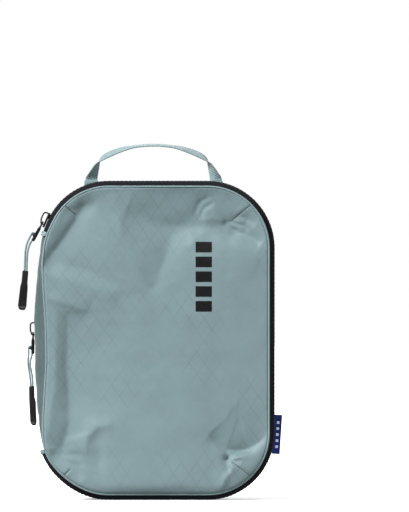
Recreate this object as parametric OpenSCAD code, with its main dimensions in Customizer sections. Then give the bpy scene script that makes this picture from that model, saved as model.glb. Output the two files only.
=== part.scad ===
// Compression packing cube: a soft zipped case with a lid that opens on a fabric
// hinge, a second zip round its back that lets it grow deeper, and a webbing handle.
// It stands upright: x runs across it, z runs up it, and its lid faces -y.

/* [Panels] */
// Width of the front panel between its seams
panel_w = 180; // [170:1:200]
// Height of the front panel between its seams
panel_h = 250; // [230:1:280]
// Corner radius of the front panel
corner_r = 50; // [46:1:54]
// How far the packed front panel swells at its middle
front_crown = 11; // [6:0.5:16]
// How far the back panel swells at its middle
back_crown = 4; // [2:0.5:8]
// Thickness of a sewn layer
cloth_t = 1.2; // [1:0.1:1.4]

/* [Side wall] */
// How far the wall stands out past the panel's seams
wall_out = 4.5; // [4:0.1:5]
// Depth between the front and the back seam, zipped shut
seam_depth = 54; // [54:1:70]
// Extra bow of the wall on the hinge side
hinge_bow = 4.5; // [3:0.5:6]
// How far the hinge panel puffs out between its seams
hinge_puff = 4.5; // [2:0.5:6]
// How far the expansion gusset is folded into the case
pleat_depth = 10; // [8:0.5:12]

/* [Zips] */
// Visible width of the main zip's side tape
tape_w = 9.3; // [9.1:0.1:9.6]
// Visible width of the compression zip's front tape
squeeze_tape_w = 7.3; // [7:0.1:7.6]
// Gap between the two tapes, which the slider's post runs in
slit_w = 1.4; // [1.4:0.1:1.8]
// Radius of one row of coil
coil_r = 0.9; // [0.8:0.05:1]
// Angle of the zip's upper end above the middle of the corner's side
zip_top_angle = 14.3; // [13:0.1:16]
// Angle of the zip's lower end below the middle of the corner's side
zip_low_angle = 18.7; // [17:0.1:22]
// Angle at which the main slider rests on the upper corner
slider_angle = 24; // [23.5:0.1:26]
// Height of the compression slider above the case's middle
squeeze_slider_up = 8.5; // [5:0.5:20]

/* [Pulls] */
// Length of a slider
slider_l = 13; // [12:0.5:14]
// Width of a slider
slider_w = 8.8; // [8:0.1:9.6]
// Length of a pull tab below its top bar
tab_l = 17.5; // [16:0.5:20]
// Width of a pull tab
tab_w = 6; // [5.4:0.1:7]
// Diameter of the pull cord
cord_d = 1.6; // [1.4:0.1:1.8]
// Length of a moulded grip
grip_l = 32; // [28:1:36]
// Width of a moulded grip across its paddle
grip_w = 7.2; // [6.6:0.1:7.6]

/* [Handle and label] */
// Distance between the middles of the handle's feet
handle_span = 101; // [90:1:110]
// Height of the handle's loop
handle_rise = 28; // [24:1:36]
// Width of the handle webbing
webbing_w = 10; // [8:0.5:12]
// Thickness of the handle webbing
webbing_t = 1.2; // [1:0.1:1.6]
// How far the side label stands out
label_w = 6.6; // [5:0.1:9]
// Height of the side label
label_h = 32; // [20:1:40]
// Lean of the side label, in degrees
label_lean = 3.6; // [0:0.1:6]

/* [Hidden] */
$fn = 96;

// Heights w are measured from the middle plane of the depth, towards the front.
front_w = seam_depth / 2;
back_w = -seam_depth / 2;
gusset_front_w = 7;
gusset_back_w = -5;
main_zip_w = gusset_front_w + tape_w + slit_w / 2;
squeeze_zip_w = gusset_back_w - squeeze_tape_w - slit_w / 2;
slope_end_w = front_w - wall_out;
flange = 2;
move_gap = 0.4;

// Centres of the corner arcs, and the shallow arc of the bowed hinge side.
corner_x = panel_w / 2 - corner_r;
corner_y = panel_h / 2 - corner_r;
bow_angle = 2 * atan(hinge_bow / corner_y);
bow_reach = corner_y / sin(bow_angle);
bow_r = corner_r + bow_reach;
bow_x = -corner_x + bow_reach * cos(bow_angle);
stand_h = panel_h / 2 + wall_out;

// Parts that move against the standing shell sit a little further in than it does.
lid_out = wall_out - 0.3;
slider_half_angle = asin(slider_l / 2 / (corner_r + wall_out));
pocket_angle = slider_angle + slider_half_angle + 1.6;

// Slider heights above the seam line.
plate_in = wall_out + 0.3;
plate_out = plate_in + 1.6;
under_top = wall_out - cloth_t - 2 * coil_r - 0.8;
under_low = under_top - 1.3;
bar_r = 0.7;
bar_out = plate_out + bar_r + 0.5;
bar_down = 2.6;
bridge_t = 1.2;
bridge_w = 2.4;
loop_out = bar_out + 2.9;
tab_slot_w = bridge_w + 0.8;
tab_slot_l = 4.2;
bail_out = 2;
bail_down = tab_l - 4.9;
bail_r = 0.5;
main_tab_lean = 4;
post_w = slit_w - 0.6;

// Handle: a half ellipse whose webbing turns edge-on soon after it leaves its feet.
handle_x = -3.8;
handle_y = -gusset_front_w;
handle_foot_z = 2 * stand_h + 1.1;
handle_steps = 40;

// Pull cords: each is one loop of cord, from the grip, round the tab's bail and back.
// Points are [x, z] of the standing case, with the cord at one y.
main_cord_y = -main_zip_w;
main_cord_route = [
    [-108.86, 183.68], [-108.65, 186.07], [-108.45, 190.0], [-108.3, 194.0], [-108.15, 198.0],
    [-107.8, 202.4], [-107.0, 206.6], [-105.6, 210.5], [-104.1, 213.4], [-103.15, 215.3],
    [-102.47, 216.47], [-101.63, 216.87], [-100.64, 216.72], [-99.96, 215.98], [-99.82, 215.06],
    [-100.46, 213.87], [-101.33, 212.4], [-103.6, 208.9], [-105.1, 205.4], [-105.95, 201.8],
    [-106.4, 198.0], [-106.6, 194.0], [-106.75, 190.0], [-106.95, 185.93], [-107.16, 183.54]
];
squeeze_cord_y = -squeeze_zip_w;
squeeze_cord_route = [
    [-104.03, 89.36], [-104.15, 91.76], [-104.3, 95.0], [-104.65, 99.0], [-105.35, 103.6],
    [-106.0, 108.0], [-106.25, 112.2], [-105.95, 116.2], [-105.75, 119.4], [-105.8, 121.98],
    [-105.73, 123.33], [-105.17, 124.08], [-104.22, 124.39], [-103.27, 124.05],
    [-102.73, 123.3], [-102.75, 121.95], [-102.85, 120.25], [-103.1, 117.4], [-104.0, 114.2],
    [-104.5, 111.0], [-104.25, 107.4], [-103.5, 103.2], [-102.75, 99.0], [-102.48, 95.0],
    [-102.45, 91.84], [-102.33, 89.45]
];
// Top of each grip as [x, z], and its lean out from straight down.
main_grip_top = [-107.8, 186];
main_grip_lean = 5;
squeeze_grip_top = [-103.3, 91.8];
squeeze_grip_lean = -2.9;

teal = [0.54, 0.64, 0.65];
teal_dark = [0.41, 0.51, 0.51];
ink = [0.17, 0.17, 0.19];
mint = [0.74, 0.86, 0.85];
jet = [0.09, 0.09, 0.09];
navy = [0.15, 0.18, 0.50];

// ---- Frames -------------------------------------------------------------------------

// Stands up a part that was drawn with the case lying on its back.
module stand() {
    translate([0, 0, stand_h]) rotate([90, 0, 0]) children();
}

// Carries a part drawn in a slider's own frame to the main slider's place:
// x outwards from the seam line, y down along the zip, z towards the front.
module at_main_slider() {
    stand()
    translate([-corner_x, corner_y, main_zip_w])
    rotate([0, 0, 180 - slider_angle])
    translate([corner_r, 0, 0])
    children();
}

module at_squeeze_slider() {
    stand()
    translate([bow_x, 0, squeeze_zip_w])
    rotate([0, 0, 180 - asin(squeeze_slider_up / (bow_r + wall_out))])
    translate([bow_r, 0, 0])
    children();
}

// ---- Sweeps round the case: children() is a profile of [offset outwards, w] -----------

module arc_run(x, y, r, from, to, facets = 96) {
    translate([x, y, 0])
    rotate([0, 0, from])
    rotate_extrude(angle = to - from, $fn = facets)
    translate([r, 0])
    children();
}

// A straight run whose outward side faces the given direction.
module line_run(distance, length, facing) {
    rotate([0, 0, facing])
    translate([distance, length / 2, 0])
    rotate([90, 0, 0])
    linear_extrude(length)
    children();
}

// A left corner from the middle of the case down to an angle above its side.
module left_corner(angle) {
    arc_run(-corner_x, corner_y, corner_r, 90, 180 - angle) children();
}

// Everything but the hinge side, between two angles on the two left corners.
module open_ring(top_angle, low_angle) {
    left_corner(top_angle) children();
    line_run(panel_h / 2, 2 * corner_x, 90) children();
    arc_run(corner_x, corner_y, corner_r, 0, 90) children();
    line_run(panel_w / 2, 2 * corner_y, 0) children();
    arc_run(corner_x, -corner_y, corner_r, -90, 0) children();
    line_run(panel_h / 2, 2 * corner_x, -90) children();
    mirror([0, 1, 0]) left_corner(low_angle) children();
}

// All the way round: the bowed hinge side is a second length, sewn on end to end.
module full_ring() {
    sewn_angle = bow_angle - 0.003;
    open_ring(bow_angle, bow_angle) children();
    arc_run(bow_x, 0, bow_r, 180 - sewn_angle, 180 + sewn_angle, 360) children();
}

module strip_profile(out, w_low, w_high, t = cloth_t) {
    translate([out - t, w_low]) square([t, w_high - w_low]);
}

// One row of coil, whose middle is at [offset, w].
module coil_profile(out, w) {
    translate([out, w]) rotate(22.5) circle(coil_r, $fn = 8);
}

// ---- Curved shells --------------------------------------------------------------------

// One closed solid between an outer and an inner grid of points, both rows x cols.
module grid_shell(outer, inner, rows, cols) {
    n = rows * cols;
    at = function(r, c) r * cols + c;
    top = [for (r = [0 : rows - 2], c = [0 : cols - 2])
        [at(r, c), at(r, c + 1), at(r + 1, c + 1), at(r + 1, c)]];
    under = [for (f = top) [n + f[3], n + f[2], n + f[1], n + f[0]]];
    row_ends = [for (c = [0 : cols - 2])
        each [[at(0, c + 1), at(0, c), n + at(0, c), n + at(0, c + 1)],
              [at(rows - 1, c), at(rows - 1, c + 1), n + at(rows - 1, c + 1), n + at(rows - 1, c)]]];
    col_ends = [for (r = [0 : rows - 2])
        each [[at(r, 0), at(r + 1, 0), n + at(r + 1, 0), n + at(r, 0)],
              [at(r + 1, cols - 1), at(r, cols - 1), n + at(r, cols - 1), n + at(r + 1, cols - 1)]]];
    polyhedron(concat(outer, inner), concat(top, under, row_ends, col_ends));
}

// x of the unbowed seam, and of the bowed wall, on the hinge side at height y.
function arc_x(y, r) = -corner_x - sqrt(r * r - pow(max(abs(y) - corner_y, 0), 2));
function wall_x(y, out) =
    abs(y) <= (corner_r + out) * sin(bow_angle) + corner_y
        ? bow_x - sqrt(pow(bow_r + out, 2) - y * y)
        : arc_x(y, corner_r + out);

// Outline of a panel: arcs at the corners, and a few points along each side.
arc_steps = 8;
side_steps = 4;
function corner_points(sx, sy, from) = [for (i = [0 : arc_steps])
    [sx * corner_x + corner_r * cos(from + 90 * i / arc_steps),
     sy * corner_y + corner_r * sin(from + 90 * i / arc_steps)]];
function side_points(a, b) = [for (i = [1 : side_steps - 1]) a + (b - a) * i / side_steps];
function outline() = let (
    q1 = corner_points(1, 1, 0), q2 = corner_points(-1, 1, 90),
    q3 = corner_points(-1, -1, 180), q4 = corner_points(1, -1, 270))
    concat(q1, side_points(q1[arc_steps], q2[0]), q2, side_points(q2[arc_steps], q3[0]),
           q3, side_points(q3[arc_steps], q4[0]), q4, side_points(q4[arc_steps], q1[0]));
// The same outline with its hinge side pushed out to the bowed seam.
function bowed_outline() = [for (p = outline())
    p[0] < -corner_x && wall_x(p[1], 0) < p[0] ? [wall_x(p[1], 0), p[1]] : p];

// A crowned sheet: a closed shell on an outline, facing up or down.
module crowned_sheet(edge, base_w, crown, side) {
    rings = [1, 0.97, 0.9, 0.8, 0.65, 0.5, 0.33, 0.16];
    cols = len(edge);
    height = function(s) crown * (1 - pow(s, 2.4));
    sheet = function(lift) [for (s = rings, p = edge)
        [s * p[0], s * p[1], base_w + side * (lift + height(s))]];
    n = len(rings) * cols + 1;
    last = n - 1;
    outer = concat(sheet(cloth_t), [[0, 0, base_w + side * (cloth_t + crown)]]);
    inner = concat(sheet(0), [[0, 0, base_w + side * crown]]);
    band = [for (r = [0 : len(rings) - 2], c = [0 : cols - 1]) let (d = (c + 1) % cols)
        [r * cols + c, r * cols + d, (r + 1) * cols + d, (r + 1) * cols + c]];
    cap = [for (c = [0 : cols - 1])
        [last - cols + c, last - cols + (c + 1) % cols, last]];
    rim = [for (c = [0 : cols - 1]) let (d = (c + 1) % cols) [d, c, n + c, n + d]];
    flip = function(f, shift) [for (i = [len(f) - 1 : -1 : 0]) f[i] + shift];
    faces = concat(band, cap, rim,
        [for (f = band) flip(f, n)], [for (f = cap) flip(f, n)]);
    // Faces wind clockwise seen from outside, so a sheet that faces up is reversed.
    polyhedron(concat(outer, inner), side > 0 ? [for (f = faces) flip(f, 0)] : faces);
}

// ---- Lid ------------------------------------------------------------------------------

module front_panel() {
    color(teal) stand() crowned_sheet(outline(), front_w, front_crown, 1);
}

// Welt along the panel's seam, just outside the panel's edge.
module front_edge_trim() {
    trim_r = 0.6;
    color(teal) stand()
    open_ring(zip_top_angle + 3, zip_low_angle + 3)
    translate([trim_r, front_w + trim_r]) rotate(22.5) circle(trim_r, $fn = 8);
}

module lid_seam_binding() {
    color(ink) stand()
    open_ring(zip_top_angle, zip_low_angle)
    strip_profile(-flange, front_w - 3, front_w);
}

// Tape of the lid: a seam flange, a slope out to the wall, then a flat strip that
// stops short at its hinge-side end, where the slider rests.
module lid_zip_tape() {
    edge_w = main_zip_w + slit_w / 2;
    color(ink) stand() {
        open_ring(zip_top_angle + 0.6, zip_low_angle + 0.6)
        polygon([
            [-flange, front_w], [0, front_w], [lid_out, slope_end_w],
            [lid_out - cloth_t, slope_end_w], [-0.5, front_w - cloth_t],
            [-flange, front_w - cloth_t]
        ]);
        open_ring(pocket_angle, zip_low_angle + 0.6)
        strip_profile(lid_out, edge_w, slope_end_w);
    }
}

module lid_zip_coil() {
    color(ink) stand()
    open_ring(pocket_angle, zip_low_angle + 1)
    coil_profile(lid_out - cloth_t - coil_r, main_zip_w + slit_w / 2 + coil_r);
}

// ---- Front shell ----------------------------------------------------------------------

module side_zip_tape() {
    color(ink) stand()
    open_ring(zip_top_angle, zip_low_angle)
    strip_profile(wall_out, gusset_front_w, main_zip_w - slit_w / 2);
}

module side_zip_coil() {
    color(ink) stand()
    open_ring(zip_top_angle + 4, zip_low_angle + 4)
    coil_profile(wall_out - cloth_t - coil_r, main_zip_w - slit_w / 2 - coil_r);
}

// Moulded stops at the two ends of the side coil.
module main_zip_stops() {
    stop = [2 * coil_r, 2 * coil_r];
    corner = [wall_out - cloth_t - 2 * coil_r, main_zip_w - slit_w / 2 - 2 * coil_r];
    color(jet) stand() {
        arc_run(-corner_x, corner_y, corner_r, 176.1 - zip_top_angle, 179 - zip_top_angle)
        translate(corner) square(stop);
        arc_run(-corner_x, -corner_y, corner_r, 181 + zip_low_angle, 183.9 + zip_low_angle)
        translate(corner) square(stop);
    }
}

// Folded cloth tabs over the ends of the zip, outside the side tape.
module end_tab_profile() {
    strip_profile(wall_out + 0.7, gusset_front_w + 0.5, main_zip_w - slit_w / 2 - 0.4, 0.7);
}

module upper_zip_end_tab() {
    color(teal) stand()
    arc_run(-corner_x, corner_y, corner_r, 180 - zip_top_angle - 2.2, 180 - zip_top_angle)
    end_tab_profile();
}

module lower_zip_end_tab() {
    color(teal) stand()
    arc_run(-corner_x, -corner_y, corner_r, 180 + zip_low_angle, 183 + zip_low_angle)
    end_tab_profile();
}

// Cloth between the two ends of the zip, which the lid folds on. It puffs outwards.
module hinge_panel() {
    y_top = corner_y + (corner_r - flange) * sin(zip_top_angle) - 0.5;
    y_low = -corner_y - (corner_r - flange) * sin(zip_low_angle) + 0.5;
    rows = 25;
    cols = 11;
    front_edge_w = front_w - move_gap;
    puff = function(y) hinge_puff * (1 - pow(abs(y) / (corner_y + corner_r / 2), 2.5));
    sheet = function(t_in) [for (r = [0 : rows - 1], c = [0 : cols - 1])
        let (y = y_low + (y_top - y_low) * r / (rows - 1), t = c / (cols - 1),
             x0 = arc_x(y, corner_r), x1 = wall_x(y, wall_out))
        [x0 + (x1 - x0) * t - max(puff(y), 0) * sin(180 * t) + t_in,
         y, front_edge_w + (gusset_front_w - front_edge_w) * t]];
    color(teal_dark) stand() grid_shell(sheet(0), sheet(cloth_t), rows, cols);
}

// Tape that binds the seam inside the hinge panel's front edge.
module hinge_seam_binding() {
    color(ink) stand()
    translate([-panel_w / 2 + cloth_t, -corner_y, front_w - move_gap - 3])
    cube([1, 2 * corner_y, 3]);
}

module front_gusset() {
    color(teal_dark) stand() full_ring() strip_profile(wall_out, gusset_back_w, gusset_front_w);
}

// Tape that binds the seam between the side tape and the gusset, inside the case.
module front_gusset_binding() {
    color(ink) stand()
    full_ring()
    strip_profile(wall_out - cloth_t - 0.05, gusset_front_w - 4.4, gusset_front_w + 0.2, 0.8);
}

module squeeze_tape_front() {
    color(ink) stand()
    full_ring()
    strip_profile(wall_out, squeeze_zip_w + slit_w / 2, gusset_back_w);
}

module squeeze_coil_front() {
    color(ink) stand()
    full_ring()
    coil_profile(wall_out - cloth_t - coil_r, squeeze_zip_w + slit_w / 2 + coil_r);
}

// Folded cloth tab over the start of the compression zip, below its slider.
module squeeze_zip_end_tab() {
    color(teal) stand()
    arc_run(bow_x, 0, bow_r, 180.9, 181.7, 720)
    strip_profile(wall_out + 0.7, squeeze_zip_w + slit_w / 2 + 0.4, gusset_back_w - 0.5, 0.7);
}

// Extra cloth that the compression zip folds into the case, as one inward pleat.
module expansion_gusset() {
    wall_in = wall_out - cloth_t - 0.05;
    knee = -4;
    tip = wall_in - cloth_t - pleat_depth - 1;
    w0 = -6;
    w1 = -20;
    mid = (w0 + w1) / 2;
    ply = 0.8;
    color(teal_dark) stand() full_ring()
    polygon([
        [wall_in, w0], [knee, w0], [tip, mid + ply / 2], [tip, mid - ply / 2], [knee, w1],
        [wall_in - 1, w1], [wall_in - 1, w1 + ply], [knee + ply / 2, w1 + ply],
        [tip + 1.4, mid], [knee + ply / 2, w0 - ply], [wall_in, w0 - ply]
    ]);
}

// ---- Handle and label -------------------------------------------------------------------

// Stitched pad under a foot of the handle, flat on top and curved to the wall below.
module handle_tack(side) {
    pad_w = webbing_w + 1.6;
    pad_top = 2 * stand_h + 0.2;
    difference() {
        translate([handle_x + side * handle_span / 2 - pad_w / 2, handle_y - 1.6, pad_top - 5])
        cube([pad_w, 3.2, 5]);
        stand()
        translate([side * corner_x, corner_y, -20])
        cylinder(h = 40, r = corner_r + wall_out, $fn = 360);
    }
}

module left_handle_tack() {
    color(mint) handle_tack(-1);
}

module right_handle_tack() {
    color(mint) handle_tack(1);
}

module handle_webbing() {
    a = handle_span / 2;
    // How far the webbing has turned from its face to its edge, in degrees
    turn = function(u) 90 * pow(sin(min(2.4 * min(u, 180 - u), 90)), 1.5);
    ring = function(u) let (
        mid = [handle_x - a * cos(u), handle_y, handle_foot_z + handle_rise * sin(u)],
        tangent = [a * sin(u), 0, handle_rise * cos(u)] / norm([a * sin(u), handle_rise * cos(u)]),
        normal = [-tangent[2], 0, tangent[0]],
        face = cos(turn(u)) * normal + sin(turn(u)) * [0, 1, 0],
        flat = cross(tangent, face))
        [for (k = [[-1, -1], [1, -1], [1, 1], [-1, 1]])
            mid + k[0] * face * webbing_w / 2 + k[1] * flat * webbing_t / 2];
    color(mint) swept([for (i = [0 : handle_steps]) ring(180 * i / handle_steps)]);
}

// Folded label sewn into the seam beside the gusset, near the foot of the open side.
// Its inner edge follows the wall, with room to bend.
module side_label() {
    room = 0.35;
    color(navy)
    difference() {
        translate([panel_w / 2 + 2.2, -gusset_front_w, 37.2])
        rotate([0, label_lean, 0])
        translate([0, -0.4, 0])
        cube([label_w, 0.8, label_h]);
        stand()
        translate([corner_x, -corner_y, 0])
        cylinder(h = 20, r = corner_r + wall_out + room, $fn = 360);
        translate([panel_w / 2, -20, stand_h - corner_y]) cube([wall_out + room, 20, corner_y]);
    }
}

// ---- Sliders and pulls ------------------------------------------------------------------

// A closed solid through a list of rings that all have the same number of points.
module swept(rings) {
    n = len(rings[0]);
    count = len(rings);
    polyhedron(
        [for (r = rings) each r],
        concat(
            [[for (i = [0 : n - 1]) i]],
            [[for (i = [n - 1 : -1 : 0]) (count - 1) * n + i]],
            [for (r = [0 : count - 2], i = [0 : n - 1]) let (j = (i + 1) % n)
                each [[r * n + j, r * n + i, (r + 1) * n + i],
                      [r * n + j, (r + 1) * n + i, (r + 1) * n + j]]]));
}

// Outline of a slider's plate: full width at its nose, and narrower at its tail.
module plate_outline() {
    nose_r = 2;
    tail_r = 1.5;
    hull() {
        for (s = [-1, 1]) {
            translate([-slider_l / 2 + nose_r, s * (slider_w / 2 - nose_r)]) circle(nose_r, $fn = 32);
            translate([slider_l / 2 - tail_r, s * (slider_w / 2 - 1 - tail_r)])
            circle(tail_r, $fn = 32);
        }
    }
}

// Lays a flat outline, drawn along y and z of the slider's frame, between two heights.
module plate(low, high) {
    translate([low, 0, 0])
    rotate([0, 90, 0])
    rotate([0, 0, 90])
    linear_extrude(high - low)
    children();
}

module slider_body() {
    post_l = 4;
    plate(plate_in, plate_out) plate_outline();
    plate(under_low, under_top) plate_outline();
    translate([under_top, -slider_l / 2 + 1, -post_w / 2])
    cube([plate_in - under_top, post_l, post_w]);
}

// Arch over the slider that the pull tab's bar hangs in.
module slider_bridge() {
    far = -6.2;
    cup_r = bar_r + 0.3;
    cup_out = cup_r + bridge_t;
    inner = loop_out - bridge_t;
    translate([0, 0, -bridge_w / 2])
    linear_extrude(bridge_w)
    difference() {
        union() {
            translate([bar_out, bar_down]) circle(cup_out, $fn = 48);
            polygon([
                [plate_out, far], [loop_out - 2.1, far], [loop_out - 0.7, far + 0.7],
                [loop_out, far + 2], [loop_out, 0.4], [loop_out - 0.4, 1.8],
                [bar_out + 1.5, bar_down + 1.5], [bar_out, bar_down + 1.5], [plate_out, bar_down]
            ]);
            translate([plate_out, bar_down]) square([bar_out - plate_out, cup_out]);
        }
        translate([bar_out, bar_down]) circle(cup_r, $fn = 48);
        polygon([
            [plate_out - 1, far + bridge_t], [inner - 1.4, far + bridge_t],
            [inner - 0.4, far + bridge_t + 0.4], [inner, far + bridge_t + 1.2], [inner, 0.1],
            [inner - 0.3, 1.1], [bar_out + 0.7, bar_down + 0.7], [bar_out, bar_down],
            [plate_out - 1, bar_down]
        ]);
        translate([plate_out - 1, bar_down]) square([bar_out - plate_out + 1, cup_r]);
        translate([plate_out - 3, far - 1]) square([3, 14]);
    }
}

// Flat tab with a round bar at its top, and a bail on its outer face that the cord hangs
// on. It is drawn from its top bar down along y, leaning outwards.
module pull_tab(lean) {
    half_t = 1.3;
    neck = 0.7;
    floor_x = -0.6;
    boss = bail_out + bail_r + 0.3;
    translate([bar_out, bar_down, 0]) rotate([0, 0, -lean]) {
        translate([0, 0, -tab_w / 2]) cylinder(h = tab_w, r = bar_r, $fn = 32);
        translate([bail_out, bail_down, -tab_w / 2]) cylinder(h = tab_w, r = bail_r, $fn = 32);
        difference() {
            translate([0, 0, -tab_w / 2])
            linear_extrude(tab_w)
            polygon([
                [-neck, 0], [neck, 0], [neck, tab_slot_l], [half_t, tab_slot_l + 2.4],
                [half_t, bail_down - 1.7], [boss, bail_down - 0.6], [boss, bail_down + 0.6],
                [half_t, bail_down + 1.7], [half_t, tab_l - 1], [neck, tab_l],
                [-neck, tab_l], [-half_t, tab_l - 1], [-half_t, tab_slot_l + 2.4],
                [-neck, tab_slot_l]
            ]);
            translate([-2, -1, -tab_slot_w / 2]) cube([4, tab_slot_l + 1, tab_slot_w]);
            translate([floor_x, bail_down - 2.6, -tab_slot_w / 2])
            cube([6, tab_l, tab_slot_w]);
        }
    }
}

// A tube of cord through points [x, z] at one y.
module cord(route, y) {
    sides = 8;
    last = len(route) - 1;
    way = function(i) let (a = route[max(i - 1, 0)], b = route[min(i + 1, last)]) (b - a) / norm(b - a);
    ring = function(i) [for (k = [0 : sides - 1]) let (
        t = 360 * k / sides, side = [-way(i)[1], way(i)[0]] * cord_d / 2 * cos(t))
        [route[i][0] + side[0], y + cord_d / 2 * sin(t), route[i][1] + side[1]]];
    swept([for (i = [0 : last]) ring(i)]);
}

// Moulded grip, drawn hanging down from its top: a sleeve that steps out on one side of
// each face to a paddle.
module grip() {
    broad = grip_w / 2;
    narrow = 2.6;
    intersection() {
        translate([0, 5, 0])
        rotate([90, 0, 0])
        linear_extrude(10)
        polygon([
            [-2.4, 0], [2.4, 0], [2.5, -9.5], [broad - 0.6, -13], [broad - 0.3, -grip_l + 3.4],
            [broad - 0.9, -grip_l + 1], [broad - 2, -grip_l], [2 - broad, -grip_l],
            [0.8 - broad, -grip_l + 1], [-broad, -grip_l + 3.4], [0.5 - broad, -13],
            [-2.4, -9.5]
        ]);
        rotate([90, 0, 90])
        linear_extrude(10, center = true)
        polygon([
            [-2.2, 0], [2.2, 0], [1.9, -8.8], [narrow + 0.2, -13], [narrow, -20],
            [narrow, -grip_l + 2.4], [narrow - 0.8, -grip_l + 0.3], [narrow - 1.2, -grip_l],
            [-0.8, -grip_l], [0.8 - narrow, -grip_l + 1], [-narrow, -grip_l + 3.4],
            [-narrow, -10]
        ]);
    }
}

// Sleeve bore that the two strands of cord run up into.
module grip_mouth() {
    translate([-cord_d - 0.2, -cord_d / 2 - 0.1, -3]) cube([2 * cord_d + 0.4, cord_d + 0.2, 4]);
}

// A grip hung by its top, turned about its length and leaning.
module placed_grip(top, y, lean, turn) {
    translate([top[0], y, top[1]])
    rotate([0, lean, 0])
    difference() {
        rotate([0, 0, turn]) grip();
        grip_mouth();
    }
}

module main_slider_body() {
    color(jet) at_main_slider() slider_body();
}

module main_slider_bridge() {
    color(jet) at_main_slider() slider_bridge();
}

module main_pull_tab() {
    color(jet) at_main_slider() pull_tab(main_tab_lean);
}

module main_pull_cord() {
    color(mint) cord(main_cord_route, main_cord_y);
}

module main_pull_grip() {
    color(jet) placed_grip(main_grip_top, main_cord_y, main_grip_lean, 0);
}

module squeeze_slider_body() {
    color(jet) at_squeeze_slider() slider_body();
}

module squeeze_slider_bridge() {
    color(jet) at_squeeze_slider() slider_bridge();
}

module squeeze_pull_tab() {
    color(jet) at_squeeze_slider() pull_tab(0);
}

module squeeze_pull_cord() {
    color(mint) cord(squeeze_cord_route, squeeze_cord_y);
}

module squeeze_pull_grip() {
    color(jet) placed_grip(squeeze_grip_top, squeeze_cord_y, squeeze_grip_lean, -90);
}

// ---- Back shell -------------------------------------------------------------------------

module squeeze_tape_back() {
    color(ink) stand()
    full_ring()
    strip_profile(lid_out, -slope_end_w + 1, squeeze_zip_w - slit_w / 2);
}

module squeeze_coil_back() {
    color(ink) stand()
    full_ring()
    coil_profile(lid_out - cloth_t - coil_r, squeeze_zip_w - slit_w / 2 - coil_r);
}

module back_gusset() {
    color(teal_dark) stand()
    full_ring()
    polygon([
        [-flange, back_w], [0, back_w], [lid_out, -slope_end_w], [lid_out, -slope_end_w + 1],
        [lid_out - cloth_t, -slope_end_w + 1], [lid_out - cloth_t, -slope_end_w],
        [-0.5, back_w + cloth_t], [-flange, back_w + cloth_t]
    ]);
}

module back_seam_binding() {
    color(ink) stand() full_ring() strip_profile(-flange, back_w, back_w + 3);
}

module back_panel() {
    color(teal) stand() crowned_sheet(bowed_outline(), back_w, back_crown, -1);
}

front_panel();
front_edge_trim();
lid_seam_binding();
lid_zip_tape();
lid_zip_coil();
side_zip_tape();
side_zip_coil();
main_zip_stops();
upper_zip_end_tab();
lower_zip_end_tab();
hinge_panel();
hinge_seam_binding();
front_gusset();
front_gusset_binding();
squeeze_tape_front();
squeeze_coil_front();
squeeze_zip_end_tab();
expansion_gusset();
left_handle_tack();
right_handle_tack();
handle_webbing();
side_label();
main_slider_body();
main_slider_bridge();
main_pull_tab();
main_pull_cord();
main_pull_grip();
squeeze_slider_body();
squeeze_slider_bridge();
squeeze_pull_tab();
squeeze_pull_cord();
squeeze_pull_grip();
squeeze_tape_back();
squeeze_coil_back();
back_gusset();
back_seam_binding();
back_panel();
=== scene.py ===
"""Looks of the packing cube: cloth, zips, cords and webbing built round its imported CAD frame.

Shapes are worked out in millimetres on the case's own seam line. In every [x, y] pair here x runs
across the case and y runs up from its middle. "Out" is a distance outwards from the seam line.
"""

import math

import bmesh
import bpy
import numpy as np
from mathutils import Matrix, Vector


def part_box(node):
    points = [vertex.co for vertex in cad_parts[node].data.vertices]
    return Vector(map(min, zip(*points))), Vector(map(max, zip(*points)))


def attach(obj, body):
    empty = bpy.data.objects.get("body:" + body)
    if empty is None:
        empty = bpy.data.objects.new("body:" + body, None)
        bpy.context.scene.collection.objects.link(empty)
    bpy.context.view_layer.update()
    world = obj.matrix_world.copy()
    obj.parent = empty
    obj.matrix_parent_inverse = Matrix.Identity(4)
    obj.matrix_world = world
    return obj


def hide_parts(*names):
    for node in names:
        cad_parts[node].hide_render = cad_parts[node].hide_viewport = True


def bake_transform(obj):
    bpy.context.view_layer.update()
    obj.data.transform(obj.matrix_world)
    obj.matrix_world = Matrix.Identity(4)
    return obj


MM = 0.001
UV_PER_MM = 0.1

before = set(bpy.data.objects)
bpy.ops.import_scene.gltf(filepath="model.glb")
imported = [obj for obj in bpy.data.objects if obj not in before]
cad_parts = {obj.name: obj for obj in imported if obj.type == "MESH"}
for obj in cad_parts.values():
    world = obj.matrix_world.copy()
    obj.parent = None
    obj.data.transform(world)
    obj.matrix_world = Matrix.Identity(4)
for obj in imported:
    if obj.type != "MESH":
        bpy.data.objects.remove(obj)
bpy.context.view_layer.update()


# ---- Sizes, from the frame ----

# The seam line that the panels are sewn along, and its round corners' middles
PANEL_LOW, PANEL_HIGH = (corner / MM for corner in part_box("front_panel"))
HALF_W = PANEL_HIGH.x
HALF_H = (PANEL_HIGH.z - PANEL_LOW.z) / 2
MID_Z = (PANEL_HIGH.z + PANEL_LOW.z) / 2
SEAM_Y = PANEL_HIGH.y
CORNER_R = 50.0
CX = HALF_W - CORNER_R
CY = HALF_H - CORNER_R
# How far the side walls, and the tapes of the lid and the back, lie outside it
WALL_OUT = MID_Z - HALF_H
LID_OUT = WALL_OUT - 0.3
# The hinge side of the walls bows outwards
BOW = 4.5
BOW_ANGLE = math.degrees(2 * math.atan(BOW / CY))
BOW_R = CORNER_R + CY / math.sin(math.radians(BOW_ANGLE))
BOW_X = -CX + (BOW_R - CORNER_R) * math.cos(math.radians(BOW_ANGLE))
# Degrees round the hinge side's corners: both ends of the main zip, and where its lid-side tape
# begins, beyond the space for the slider
ZIP_TOP_ANGLE = 14.3
ZIP_LOW_ANGLE = 18.7
POCKET_ANGLE = 32.45
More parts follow.
